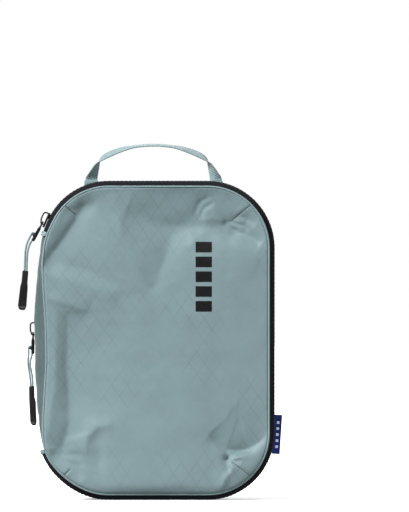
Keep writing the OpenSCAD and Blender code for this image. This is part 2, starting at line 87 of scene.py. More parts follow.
# Depths of the zips, the gap between their tapes, how far in their coils lie, and the gusset
MAIN_ZIP_Y = -17.0
SQUEEZE_ZIP_Y = 13.0
SLIT = 1.4
COIL_DEPTH = 2.1
TAPE_THICK = 0.7
GUSSET_FRONT_Y = -7.0
GUSSET_BACK_Y = 5.0
CORD_D = 1.6

# ---- Colours, linear ----

PANEL = (0.103, 0.149, 0.158)
# The walls' and hinge strip's cloth is the panel's fabric made darker: painted shade for the sides
# that face away from the light.
WALL_CLOTH_PAINTED_SHADE = (0.042, 0.064, 0.065)
# The panel's fabric made lighter: painted highlight along the turned edge of the front panel. The
# zips' end tabs use the same cloth.
EDGE_PAINTED_HIGHLIGHT = (0.125, 0.178, 0.187)
THREAD = (0.16, 0.225, 0.23)
INK = (0.0055, 0.006, 0.0075)
COIL = (0.006, 0.006, 0.007)
METAL = (0.0035, 0.0035, 0.004)
RUBBER = (0.004, 0.004, 0.0045)
MINT = (0.138, 0.205, 0.212)
CORD = (0.125, 0.190, 0.192)
NAVY = (0.010, 0.021, 0.150)
LABEL_THREAD = (0.62, 0.66, 0.85)
PRINT = (0.005, 0.005, 0.0055)


# ---- Camera and light ----


def scene_object(name, data):
    obj = bpy.data.objects.new(name, data)
    bpy.context.scene.collection.objects.link(obj)
    return obj


def make_camera():
    """A long lens, level, straight in front of the case and to the right of its middle."""
    aim = Vector((0.0376, SEAM_Y * MM - 0.008, 0.198))
    distance = 8.0
    view_w = 0.3314
    data = bpy.data.cameras.new("camera")
    data.sensor_fit = "HORIZONTAL"
    data.sensor_width = 36
    data.lens = data.sensor_width * distance / view_w
    data.clip_end = 60
    camera = scene_object("camera", data)
    camera.location = aim - Vector((0, distance, 0))
    camera.rotation_euler = (math.radians(90), 0, 0)
    bpy.context.scene.camera = camera


def area_light(name, place, target, size, watts):
    data = bpy.data.lights.new(name, "AREA")
    data.shape = "RECTANGLE"
    data.size, data.size_y = size
    data.energy = watts
    light = scene_object(name, data)
    light.location = place
    light.rotation_euler = (Vector(target) - Vector(place)).to_track_quat("-Z", "Y").to_euler()


def map_range(tree, value, source, target, kind="SMOOTHSTEP"):
    """A value taken from one range to another, and held at the ends of it."""
    made = tree.nodes.new("ShaderNodeMapRange")
    made.interpolation_type = kind
    tree.links.new(value, made.inputs["Value"])
    for socket, number in zip(("From Min", "From Max", "To Min", "To Max"), (*source, *target)):
        made.inputs[socket].default_value = number
    return made.outputs[0]


def make_world():
    """Soft light that comes mostly from behind and above, as from a white room."""
    world = bpy.data.worlds.new("studio")
    world.use_nodes = True
    tree = world.node_tree
    background = tree.nodes["Background"]
    background.inputs["Color"].default_value = (1, 1, 1, 1)
    direction = tree.nodes.new("ShaderNodeTexCoord")
    lean = tree.nodes.new("ShaderNodeVectorMath")
    lean.operation = "DOT_PRODUCT"
    lean.inputs[1].default_value = (-0.25, 0.65, 0.70)
    tree.links.new(direction.outputs["Generated"], lean.inputs[0])
    strength = map_range(tree, lean.outputs["Value"], (-0.6, 0.64), (0.16, 1.0), "LINEAR")
    tree.links.new(strength, background.inputs["Strength"])
    bpy.context.scene.world = world


def make_studio():
    """A key that rakes over the front from the upper left, a weak fill, and light off the floor."""
    make_world()
    bpy.context.scene.view_settings.view_transform = "Standard"
    middle = (0, 0, 0.13)
    area_light("key", (-2.48, -2.0, 2.45), middle, (1.0, 1.0), 400)
    area_light("fill", (1.5, -0.8, 0.45), middle, (0.9, 0.9), 16)
    area_light("bounce", (0.05, -0.40, -0.22), (0, 0, 0.05), (0.6, 0.2), 1.3)


# ---- Materials ----


class Shader:
    """A Principled material with short calls for the nodes that the finishes share."""

    def __init__(self, name, colour, roughness, specular):
        self.material = bpy.data.materials.new(name)
        self.material.use_nodes = True
        self.tree = self.material.node_tree
        self.base = self.tree.nodes["Principled BSDF"]
        self.colour = colour
        self.set("Base Color", (*colour, 1))
        self.set("Roughness", roughness)
        self.set("Specular IOR Level", specular)

    def set(self, socket, value):
        self.base.inputs[socket].default_value = value

    def sheen(self, weight, roughness, tint=(1, 1, 1)):
        self.set("Sheen Weight", weight)
        self.set("Sheen Roughness", roughness)
        self.set("Sheen Tint", (*tint, 1))
        return self

    def node(self, kind, **values):
        made = self.tree.nodes.new(kind)
        for name, value in values.items():
            setattr(made, name, value)
        return made

    def link(self, source, target):
        self.tree.links.new(source, target)

    def math(self, operation, *values):
        made = self.node("ShaderNodeMath", operation=operation)
        for socket, value in zip(made.inputs, values):
            if isinstance(value, (int, float)):
                socket.default_value = value
            else:
                self.link(value, socket)
        return made.outputs[0]

    def plus(self, a, b):
        return self.math("ADD", a, b)

    def times(self, a, b):
        return self.math("MULTIPLY", a, b)

    def wave(self, value, rate):
        return self.math("SINE", self.times(value, rate))

    def uv(self):
        """The u and v of the cloth in centimetres."""
        split = self.node("ShaderNodeSeparateXYZ")
        self.link(self.node("ShaderNodeTexCoord").outputs["UV"], split.inputs[0])
        return split.outputs[0], split.outputs[1]

    def lines(self, phase, width):
        """1 on lines where the phase is a whole number, 0 further off than width."""
        near = self.math("PINGPONG", phase, 0.5)
        return map_range(self.tree, near, (0, width), (1, 0))

    def noise(self, scale, detail):
        made = self.node("ShaderNodeTexNoise")
        made.inputs["Scale"].default_value = scale
        made.inputs["Detail"].default_value = detail
        self.link(self.node("ShaderNodeTexCoord").outputs["Object"], made.inputs["Vector"])
        return made.outputs["Fac"]

    def spread(self, value, low, high):
        """A 0 to 1 value spread between two numbers."""
        return self.plus(self.times(value, high - low), low)

    def tint(self, factor):
        """Scales the base colour by a factor that varies over the surface."""
        made = self.node("ShaderNodeVectorMath", operation="SCALE")
        made.inputs[0].default_value = self.colour
        self.link(factor, made.inputs["Scale"])
        self.link(made.outputs[0], self.base.inputs["Base Color"])

    def relief(self, height, depth_mm, strength):
        bump = self.node("ShaderNodeBump")
        bump.inputs["Distance"].default_value = depth_mm * MM
        bump.inputs["Strength"].default_value = strength
        self.link(height, bump.inputs["Height"])
        self.link(bump.outputs[0], self.base.inputs["Normal"])

    def rough(self, value):
        self.link(value, self.base.inputs["Roughness"])


def plain_weave(shader, pitch_mm):
    """Height of a plain weave: threads that cross over and under each other."""
    u, v = shader.uv()
    rate = 2 * math.pi / (pitch_mm * UV_PER_MM)
    return shader.plus(shader.times(shader.wave(u, rate), shader.wave(v, rate)), 1)


def ripstop(name, colour):
    """Thin coated ripstop: a fine weave, a faint diamond grid of heavier threads, satin."""
    shader = Shader(name, colour, 0.5, 0.22).sheen(0.12, 0.4, (0.85, 0.95, 1.0))
    cell_w, cell_h, thread_w, thread_pitch_mm = 1.25, 1.8, 0.034, 0.5
    u, v = shader.uv()
    across = shader.math("DIVIDE", u, cell_w)
    up = shader.math("DIVIDE", v, cell_h)
    rising = shader.lines(shader.math("SUBTRACT", across, up), thread_w)
    falling = shader.lines(shader.plus(across, up), thread_w)
    grid = shader.math("MAXIMUM", rising, falling)
    cloudy = shader.spread(shader.noise(34, 3), 0.93, 1.07)
    faded = shader.spread(shader.noise(260, 4), 0.97, 1.03)
    # The grid shows in some places and fades in others
    shown = map_range(shader.tree, shader.noise(22, 2), (0.44, 0.62), (0.12, 1))
    darker = shader.spread(shader.times(grid, shown), 1.0, 0.77)
    shader.tint(shader.times(shader.times(cloudy, faded), darker))
    weave = shader.times(plain_weave(shader, thread_pitch_mm), 0.5)
    shader.relief(shader.plus(weave, grid), 0.06, 0.7)
    shader.rough(shader.spread(shader.noise(90, 3), 0.46, 0.60))
    return shader.material


def woven_tape(name, colour, pitch_mm, depth_mm, roughness, sheen):
    """Tape or webbing: ribs along v, crossed by a fine weave, a little uneven."""
    shader = Shader(name, colour, roughness, 0.06).sheen(sheen, 0.5)
    cross_pitch_mm = 0.6
    u, v = shader.uv()
    ribs = shader.wave(u, 2 * math.pi / (pitch_mm * UV_PER_MM))
    cross = shader.wave(v, 2 * math.pi / (cross_pitch_mm * UV_PER_MM))
    shader.relief(shader.plus(ribs, shader.times(cross, 0.4)), depth_mm, 0.7)
    worn = shader.spread(shader.noise(180, 4), 0.85, 1.15)
    shader.tint(shader.times(worn, shader.spread(ribs, 0.97, 1.03)))
    return shader.material


def painted_metal(name, colour):
    shader = Shader(name, colour, 0.3, 0.4)
    shader.set("Coat Weight", 0.12)
    shader.set("Coat Roughness", 0.2)
    grain = shader.noise(900, 3)
    shader.rough(shader.spread(grain, 0.26, 0.42))
    shader.tint(shader.spread(shader.noise(220, 2), 0.8, 1.3))
    shader.relief(grain, 0.02, 0.4)
    return shader.material


def moulded(name, colour, roughness):
    shader = Shader(name, colour, roughness, 0.5)
    grain = shader.noise(1400, 3)
    shader.rough(shader.spread(grain, roughness - 0.05, roughness + 0.08))
    shader.tint(shader.spread(shader.noise(120, 3), 0.8, 1.25))
    shader.relief(grain, 0.03, 0.5)
    return shader.material


def braid(name, colour):
    """Braided cord: two sets of strands that wind round it in opposite directions."""
    shader = Shader(name, colour, 0.62, 0.3).sheen(0.35, 0.5)
    u, v = shader.uv()
    strands = 42
    one = shader.wave(shader.plus(u, v), strands)
    two = shader.wave(shader.math("SUBTRACT", u, v), strands)
    height = shader.times(one, two)
    shader.tint(shader.spread(height, 0.97, 1.04))
    shader.relief(height, 0.12, 0.8)
    return shader.material


def printed_film(name, colour):
    """Glossy transfer print, with the cloth's weave showing through it a little."""
    shader = Shader(name, colour, 0.16, 0.35)
    shader.rough(shader.spread(shader.noise(300, 2), 0.12, 0.26))
    shader.relief(plain_weave(shader, 0.5), 0.02, 0.5)
    # Patchy brighter and darker tone over the print: painted reflection for its uneven gloss.
    shader.tint(shader.spread(shader.noise(60, 2), 0.8, 1.4))
    return shader.material


MATERIALS = {
    slot: make(slot, *choices)
    for slot, make, *choices in (
        ("panel_ripstop", ripstop, PANEL),
        ("gusset_ripstop", ripstop, WALL_CLOTH_PAINTED_SHADE),
        ("edge_trim", ripstop, EDGE_PAINTED_HIGHLIGHT),
        ("zip_tape", woven_tape, INK, 0.9, 0.10, 0.85, 0.02),
        ("zip_coil", moulded, COIL, 0.38),
        ("binding_tape", woven_tape, INK, 1.1, 0.12, 0.85, 0.02),
        ("slider_metal", painted_metal, METAL),
        ("pull_cord", braid, CORD),
        ("grip_rubber", moulded, RUBBER, 0.30),
        ("handle_webbing", woven_tape, MINT, 1.3, 0.25, 0.6, 0.3),
        ("label_cloth", woven_tape, NAVY, 0.5, 0.04, 0.4, 0.2),
    )
}
THREAD_FINISH = braid("sewing_thread", THREAD)
DARK_THREAD = braid("dark_thread", (0.02, 0.022, 0.023))
LABEL_FINISH = braid("label_thread", LABEL_THREAD)
PRINT_FINISH = printed_film("printed_film", PRINT)
# A dark finish for thin tubes laid in the darts' creases: painted shadow.
DART_PAINTED_SHADOW = braid("dart_painted_shadow", (0.020, 0.030, 0.031))


# ---- The seam line ----


# How far the slack front edge lies outside the seam line on the hinge side, at heights y.
SLACK_Y = [-125, -112, -93, -75, -56, -35, -16, 16, 40, 61, 75, 88, 98]
SLACK = [0.0, 1.6, 3.8, 3.6, 3.2, 1.8, 0.8, 1.6, 3.2, 4.2, 3.0, 0.9, 0.0]
SLACK_FINE = np.arange(-125, 99, 1.0)


def slack_at(y):
    """The slack at height y, smoothed between the heights that are listed."""
    listed = np.interp(SLACK_FINE, SLACK_Y, SLACK)
    kernel = np.hanning(19) / np.hanning(19).sum()
    soft = np.convolve(np.pad(listed, 9, "edge"), kernel, "valid")
    return np.interp(y, SLACK_FINE, soft)


def slackened(points):
    """Points in space moved out on the hinge side: most at the front, and none at the wall."""
    x, depth, z = points[..., 0], points[..., 1], points[..., 2]
    side = np.clip((-x - 58) / 28, 0, 1)
    side = side * side * (3 - 2 * side)
    front = np.clip((GUSSET_FRONT_Y - depth) / (GUSSET_FRONT_Y - SEAM_Y), 0, 1)
    moved = points.copy()
    moved[..., 0] = x - slack_at(z - MID_Z) * side * front
    return moved


def lengths(points):
    """The length along a path at each of its points."""
    return np.concatenate([[0], np.cumsum(np.linalg.norm(np.diff(points, axis=0), axis=-1))])


def looped(points, closed=True):
    """The points, with the first again at the end where they run all the way round."""
    return np.vstack([points, points[:1]]) if closed else points


def unit(vectors):
    return vectors / np.linalg.norm(vectors, axis=-1, keepdims=True)


def along(points, run, s):
    """The points of a path at lengths s, where run is the length at each point."""
    return np.column_stack([np.interp(s, run, column) for column in np.transpose(points)])


class Rail:
    """A run along the seam line: points, outward normals and the length at each point."""

    def __init__(self, points, normals, closed):
        self.points = points
        self.normals = normals
        self.closed = closed
        self.path = looped(points, closed)
        self.length = lengths(self.path)
        self.count = len(points)

    def at(self, out, y, lift=0):
        """Points in space at a distance out from the seam line and at depth y."""
        flat = self.points + self.normals * np.reshape(out + lift, (-1, 1))
        depth = np.broadcast_to(np.asarray(y, float), (self.count,))
        return slackened(np.column_stack([flat[:, 0], depth, flat[:, 1] + MID_Z]))


def arc(x, y, r, start, end, step):
    count = max(int(abs(math.radians(end - start)) * r / step), 2)
    a = np.radians(np.linspace(start, end, count, endpoint=False))
    way = np.column_stack([np.cos(a), np.sin(a)])
    return np.array([x, y]) + r * way, way


def line(start, end, facing, step):
    start, end = np.array(start, float), np.array(end, float)
    count = max(int(np.linalg.norm(end - start) / step), 1)
    t = np.linspace(0, 1, count, endpoint=False)[:, None]
    return start + (end - start) * t, np.tile(np.array(facing, float), (count, 1))


def rail(bowed=False, first=None, last=None, step=2.0):
    """Clockwise from the hinge side's top. With angles it is open there, and else closed."""
    side = BOW_ANGLE if bowed else 0.0
    closed = first is None
    start = side if closed else first
    end = side if closed else last
    runs = [
        arc(-CX, CY, CORNER_R, 180 - start, 90, step),
        line((-CX, HALF_H), (CX, HALF_H), (0, 1), step),
        arc(CX, CY, CORNER_R, 90, 0, step),
        line((HALF_W, CY), (HALF_W, -CY), (1, 0), step),
        arc(CX, -CY, CORNER_R, 0, -90, step),
        line((CX, -HALF_H), (-CX, -HALF_H), (0, -1), step),
        arc(-CX, -CY, CORNER_R, -90, end - 180, step),
    ]
    if not closed:
        a = math.radians(end - 180)
        way = np.array([[math.cos(a), math.sin(a)]])
        runs.append((np.array([[-CX, -CY]]) + CORNER_R * way, way))
    elif bowed:
        runs.append(arc(BOW_X, 0, BOW_R, 180 + side, 180 - side, step))
    else:
        runs.append(line((-HALF_W, -CY), (-HALF_W, CY), (-1, 0), step))
    points = np.vstack([run[0] for run in runs])
    normals = np.vstack([run[1] for run in runs])
    return Rail(points, normals, closed)


# ---- Meshes ----


def lattice(p):
    """Repeatable gradient noise at points (n, 2), from -1 to 1."""
    cell = np.floor(p).astype(int)
    f = p - cell
    ease = f * f * f * (f * (f * 6 - 15) + 10)

    def corner(dx, dy):
        key = (cell[:, 0] + dx) * 374761393 + (cell[:, 1] + dy) * 668265263
        key = (key ^ (key >> 13)) * 1274126177
        angle = ((key ^ (key >> 16)) & 0xFFFF) / 0xFFFF * 2 * math.pi
        return np.cos(angle) * (f[:, 0] - dx) + np.sin(angle) * (f[:, 1] - dy)

    low = corner(0, 0) * (1 - ease[:, 0]) + corner(1, 0) * ease[:, 0]
    high = corner(0, 1) * (1 - ease[:, 0]) + corner(1, 1) * ease[:, 0]
    return (low * (1 - ease[:, 1]) + high * ease[:, 1]) * 1.4


def ripple(a, b, size, seed):
    """Noise over two coordinates in millimetres, with features of about that size."""
    shape = np.broadcast(a, b).shape
    a = np.broadcast_to(a, shape).ravel()
    b = np.broadcast_to(b, shape).ravel()
    return lattice(np.column_stack([a / size + seed * 17.3, b / size - seed * 9.1])).reshape(shape)


def points_at(x, y, z):
    """A grid of points from coordinates that broadcast to one shape."""
    return np.stack(np.broadcast_arrays(x, y, z), -1)


def finish_mesh(obj, slot, material=None):
    obj.data.materials.append(material or MATERIALS[slot])
    for face in obj.data.polygons:
        face.use_smooth = True
    return obj


def placed(piece, body, node=None):
    """Rides a piece on its body. Where it stands for a CAD node, it replaces that node."""
    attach(piece, body)
    if node:
        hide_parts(node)
    return piece


def hinged(piece, node=None):
    """Bakes a piece's transform into its mesh. It replaces the CAD node that it stands for."""
    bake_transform(piece)
    if node:
        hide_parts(node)


def mesh_object(name, points, faces, slot, uv, material=None):
    """points and uv are in millimetres; uv has one pair for each corner of each face."""
    mesh = bpy.data.meshes.new(name)
    mesh.from_pydata((np.asarray(points) * MM).tolist(), [], np.asarray(faces).tolist())
    layer = mesh.uv_layers.new(name="UVMap")
    layer.data.foreach_set("uv", (np.asarray(uv) * UV_PER_MM).ravel())
    return finish_mesh(scene_object(name, mesh), slot, material)


def grid_faces(rows, cols, loop_rows, loop_cols):
    """The faces of a grid of points, and the [row, column] of each corner of each face."""
    i, j = np.indices((rows - (not loop_rows), cols - (not loop_cols))).reshape(2, -1, 1)
    corners = np.stack([i + [0, 0, 1, 1], j + [0, 1, 1, 0]], -1)
    return corners[..., 0] % rows * cols + corners[..., 1] % cols, corners


def grid_object(name, grid, slot, down, across, loop_rows=False, loop_cols=False, flip=False,
                material=None):
    """A sheet through a grid of points (rows, cols, 3), with uv lengths down and across it."""
    rows, cols = grid.shape[:2]
    faces, corners = grid_faces(rows, cols, loop_rows, loop_cols)
    if loop_cols:
        across = np.append(across, 2 * across[-1] - across[-2])
    uv = np.stack([down[corners[..., 0]], across[corners[..., 1]]], -1)
    if flip:
        faces, uv = faces[:, ::-1], uv[:, ::-1]
    return mesh_object(name, grid.reshape(-1, 3), faces, slot, uv, material)


def thicken(obj, thickness_mm, offset=-1.0):
    solid = obj.modifiers.new("thickness", "SOLIDIFY")
    solid.thickness = thickness_mm * MM
    solid.offset = offset
    return obj


def strip(name, run, profile, slot, thickness, wobble=None):
    """Cloth that follows a rail, with a cross-section of (out, y) points.

    wobble(length, position) pushes it outwards, in mm, by the place along and across it."""
    profile = np.asarray(profile, float)
    across = lengths(profile)
    share = across / across[-1]
    columns = []
    for k, (out, y) in enumerate(profile):
        push = np.zeros(run.count) if wobble is None else wobble(run.length[: run.count], share[k])
        columns.append(run.at(out, y, push))
    grid = np.stack(columns, 1)
    rising = profile[-1][1] > profile[0][1]
    obj = grid_object(name, grid, slot, run.length, across, run.closed, flip=rising)
    return thicken(obj, thickness)


def sweep(path, first, second, radius, sides):
    """A grid of rings round a path; first and second span the plane of each ring."""
    turns = np.linspace(0, 2 * math.pi, sides, endpoint=False)
    return np.stack(
        [path + radius * (math.cos(t) * first + math.sin(t) * second) for t in turns], 1
    )


def ring_lengths(radius, sides):
    return np.arange(sides) * radius * 2 * math.pi / sides


def tube(name, run, out, y, radius, slot, sides=10):
    """A round cord sewn along a rail."""
    turns = np.linspace(0, 2 * math.pi, sides, endpoint=False)
    grid = np.stack(
        [run.at(out + radius * math.cos(t), y + radius * math.sin(t)) for t in turns], 1
    )
    return grid_object(name, grid, slot, run.length, ring_lengths(radius, sides), run.closed, True)


def swept_tube(name, path, radius, slot, sides, material=None):
    """A round tube through points in space."""
    way = unit(np.gradient(path, axis=0))
    side = unit(np.cross(way, [0, 1, 0]))
    grid = sweep(path, side, np.cross(side, way), radius, sides)
    return grid_object(name, grid, slot, lengths(path), ring_lengths(radius, sides), False, True,
                       material=material)


def smooth_path(points, spacing):
    """A smooth curve through points, resampled at an even spacing."""
    points = np.asarray(points, float)
    padded = np.vstack([2 * points[0] - points[1], points, 2 * points[-1] - points[-2]])
    fine = []
    for a, b, c, d in zip(padded, padded[1:], padded[2:], padded[3:]):
        t = np.linspace(0, 1, 12, endpoint=False)[:, None]
        fine.append(
            0.5 * (2 * b + (c - a) * t + (2 * a - 5 * b + 4 * c - d) * t**2
                   + (3 * b - a - 3 * c + d) * t**3)
        )
    fine = np.vstack(fine + [points[-1:]])
    run = lengths(fine)
    return along(fine, run, np.linspace(0, run[-1], max(int(run[-1] / spacing), 2)))


def stitches(name, path, up, slot, stitch=2.4, gap=1.0, radius=0.17, material=None):
    """Short lengths of thread along a path; each dips into the cloth at its ends.

    up is the direction out of the cloth: one for the whole path, or one for each point."""
    up = np.broadcast_to(np.asarray(up, float), path.shape)
    run = lengths(path)
    starts = np.arange(gap, run[-1] - stitch, stitch + gap)
    shape = np.array([0.0, 0.18, 0.5, 0.82, 1.0])
    lift = np.array([-0.15, 0.02, 0.06, 0.02, -0.15])
    width = np.array([0.45, 0.95, 1.0, 0.95, 0.45]) * radius
    sides = 6
    points, faces, uv = [], [], []
    ring, corners = grid_faces(len(shape), sides, False, True)
    for start in starts:
        s = start + shape * stitch
        mid, out = along(path, run, s), unit(along(up, run, s))
        side = np.cross(unit(np.gradient(mid, axis=0)), out)
        mid = mid + out * lift[:, None]
        for k in range(sides):
            t = 2 * math.pi * k / sides
            points.append(mid + (math.cos(t) * side + math.sin(t) * out) * width[:, None])
        base = (len(points) // sides - 1) * sides * len(shape)
        # Points go in by side and then by ring, so a face's index is turned round.
        faces.append(base + (ring % sides) * len(shape) + ring // sides)
        uv.append(np.stack([corners[..., 0] * 0.6, corners[..., 1] * 0.2], -1))
    if not points:
        raise ValueError(f"{name}: the path is shorter than one stitch")
    return mesh_object(name, np.vstack(points), np.vstack(faces), slot, np.vstack(uv),
                       material or THREAD_FINISH)


def rail_stitches(name, run, out, y, trim):
    """Dark stitches along a rail, on a tape that faces outwards."""
    path = looped(run.at(out, y), run.closed)
    up = looped(np.insert(run.normals, 1, 0, 1), run.closed)
    inner = slice(trim, len(path) - trim)
    return stitches(name, path[inner], up[inner], "zip_tape", material=DARK_THREAD)


def refined(node, body, slot, bevel_mm, segments, smooth_angle=35):
    """A copy of a CAD piece with its flat faces whole again and its edges rounded over."""
    mesh = bmesh.new()
    mesh.from_mesh(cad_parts[node].data)
    bmesh.ops.remove_doubles(mesh, verts=mesh.verts, dist=2e-6)
    bmesh.ops.dissolve_limit(
        mesh, angle_limit=math.radians(1.5), verts=mesh.verts, edges=mesh.edges
    )
    sharp = [e for e in mesh.edges if len(e.link_faces) == 2 and e.calc_face_angle(0) > 0.5]
    bmesh.ops.bevel(
        mesh, geom=sharp, offset=bevel_mm * MM, segments=segments, profile=0.5,
        affect="EDGES", clamp_overlap=True,
    )
    data = bpy.data.meshes.new(node + "_looks")
    mesh.to_mesh(data)
    mesh.free()
    placed(finish_mesh(scene_object(node + "_looks", data), slot), body, node)
    data.set_sharp_from_angle(angle=math.radians(smooth_angle))


# ---- Cords ----

# Each loop of cord as [x, z], at one y, from its grip up round the tab's bail and back.
MAIN_CORD = [
    [-108.86, 183.68], [-108.65, 186.07], [-108.45, 190.0], [-108.3, 194.0], [-108.15, 198.0],
    [-107.8, 202.4], [-107.0, 206.6], [-105.6, 210.5], [-104.1, 213.4], [-103.15, 215.3],
    [-102.47, 216.47], [-101.63, 216.87], [-100.64, 216.72], [-99.96, 215.98], [-99.82, 215.06],
    [-100.46, 213.87], [-101.33, 212.4], [-103.6, 208.9], [-105.1, 205.4], [-105.95, 201.8],
    [-106.4, 198.0], [-106.6, 194.0], [-106.75, 190.0], [-106.95, 185.93], [-107.16, 183.54],
]
SQUEEZE_CORD = [
    [-104.03, 89.36], [-104.15, 91.76], [-104.3, 95.0], [-104.65, 99.0], [-105.35, 103.6],
    [-106.0, 108.0], [-106.25, 112.2], [-105.95, 116.2], [-105.75, 119.4], [-105.8, 121.98],
    [-105.73, 123.33], [-105.17, 124.08], [-104.22, 124.39], [-103.27, 124.05],
    [-102.73, 123.3], [-102.75, 121.95], [-102.85, 120.25], [-103.1, 117.4], [-104.0, 114.2],
    [-104.5, 111.0], [-104.25, 107.4], [-103.5, 103.2], [-102.75, 99.0], [-102.48, 95.0],
    [-102.45, 91.84], [-102.33, 89.45],
]


def make_cord(name, route, y, body):
    path = smooth_path([(x, y, z) for x, z in route], 0.45)
    cord = placed(swept_tube(name + "_looks", path, CORD_D / 2, "pull_cord", 10), body, name)


def make_pulls():
    make_cord("main_pull_cord", MAIN_CORD, MAIN_ZIP_Y, "main_pull")
    make_cord("squeeze_pull_cord", SQUEEZE_CORD, SQUEEZE_ZIP_Y, "squeeze_pull")
    for side in ("main", "squeeze"):
        for part in ("body", "bridge"):
            refined(f"{side}_slider_{part}", side + "_slider", "slider_metal", 0.35, 3)
        refined(side + "_pull_tab", side + "_tab", "slider_metal", 0.28, 2)
        refined(side + "_pull_grip", side + "_pull", "grip_rubber", 0.7, 4, 60)


# ---- Panels ----


def closer_at_ends(count):
    """Steps from 0 to 1 that are half as long at the ends as in the middle."""
    t = np.linspace(0, 1, count)
    return 0.55 * t + 0.45 * (0.5 - 0.5 * np.cos(np.pi * t))


def seam_grid(columns, rows, bowed=False):
    """A grid of [x, y] that fills the seam line, square in the middle and round at the edge."""
    run = rail(bowed, step=0.5)
    quarter = CORNER_R * math.pi / 2
    total = run.length[-1]
    side = math.radians(BOW_ANGLE) * CORNER_R if bowed else 0.0
    turn = quarter / 2 - side
    marks = [turn, turn + quarter + 2 * CX, turn + 2 * quarter + 2 * CX + 2 * CY,
             turn + 3 * quarter + 4 * CX + 2 * CY, turn + total]
    loop = np.vstack([run.points, run.points, run.points[:1]])
    place = np.concatenate([run.length[:-1], run.length + total])

    def edge(start, end, count):
        return along(loop, place, start + (end - start) * closer_at_ends(count))

    top, right, bottom, left = (
        edge(a, b, count)
        for a, b, count in zip(marks, marks[1:], (columns, rows, columns, rows))
    )
    right, bottom = right[::-1], bottom[::-1]
    u = closer_at_ends(columns)[None, :, None]
    v = closer_at_ends(rows)[:, None, None]
    ruled = (1 - v) * bottom[None] + v * top[None] + (1 - u) * left[:, None] + u * right[:, None]
    corners = ((1 - v) * ((1 - u) * bottom[0] + u * bottom[-1])
               + v * ((1 - u) * top[0] + u * top[-1]))
    return ruled - corners


def inset(x, y):
    """Distance inwards from the straight-sided seam line."""
    dx, dy = np.abs(x) - CX, np.abs(y) - CY
    outside = np.hypot(np.maximum(dx, 0), np.maximum(dy, 0)) + np.minimum(np.maximum(dx, dy), 0)
    return np.maximum(CORNER_R - outside, 0)


def crease(x, y, path, depth, left, right, ends, rounding=0.5):
    """A fold along a path of [x, y] points: straight flanks and a rounded bottom.

    depth is positive for a valley. left and right are the widths of its flanks, as it runs,
    and ends the shares of the depth left at its two ends. rounding is a share of the width."""
    path = np.asarray(path, float)
    total = lengths(path)[-1]
    best = np.full(x.shape, np.inf)
    place, side = np.zeros(x.shape), np.zeros(x.shape)
    done = 0.0
    for a, b in zip(path, path[1:]):
        way = b - a
        size = np.linalg.norm(way)
        t = np.clip(((x - a[0]) * way[0] + (y - a[1]) * way[1]) / size**2, 0, 1)
        dx, dy = x - a[0] - t * way[0], y - a[1] - t * way[1]
        far = np.hypot(dx, dy)
        nearer = far < best
        best = np.where(nearer, far, best)
        place = np.where(nearer, (done + t * size) / total, place)
        across = (way[0] * (y - a[1]) - way[1] * (x - a[0])) / size
        side = np.where(nearer, across / np.maximum(far, 1e-6), side)
        done += size
    reach = (left + right) / 2 + np.clip(side, -1, 1) * (left - right) / 2
    soft = reach * rounding
    profile = np.exp(-(np.sqrt(best**2 + soft**2) - soft) / reach)
    start, end = ends
    swell = np.sin(np.pi * np.clip(place, 0, 1)) ** 0.6
    share = swell + (1 - swell) * (start + (end - start) * place)
    return -depth * profile * share


# Sewn darts at the corners of the front panel: each from the seam inwards.
DARTS = {
    "upper_left": [(-75.0, 109.2), (-66.5, 101.4)],
    "upper_right": [(75.0, 110.0), (59.5, 97.0)],
    "lower_right": [(75.0, -110.0), (68.1, -104.6), (59.6, -98.4)],
    "lower_left": [(-75.6, -109.6), (-70.4, -104.6)],
}

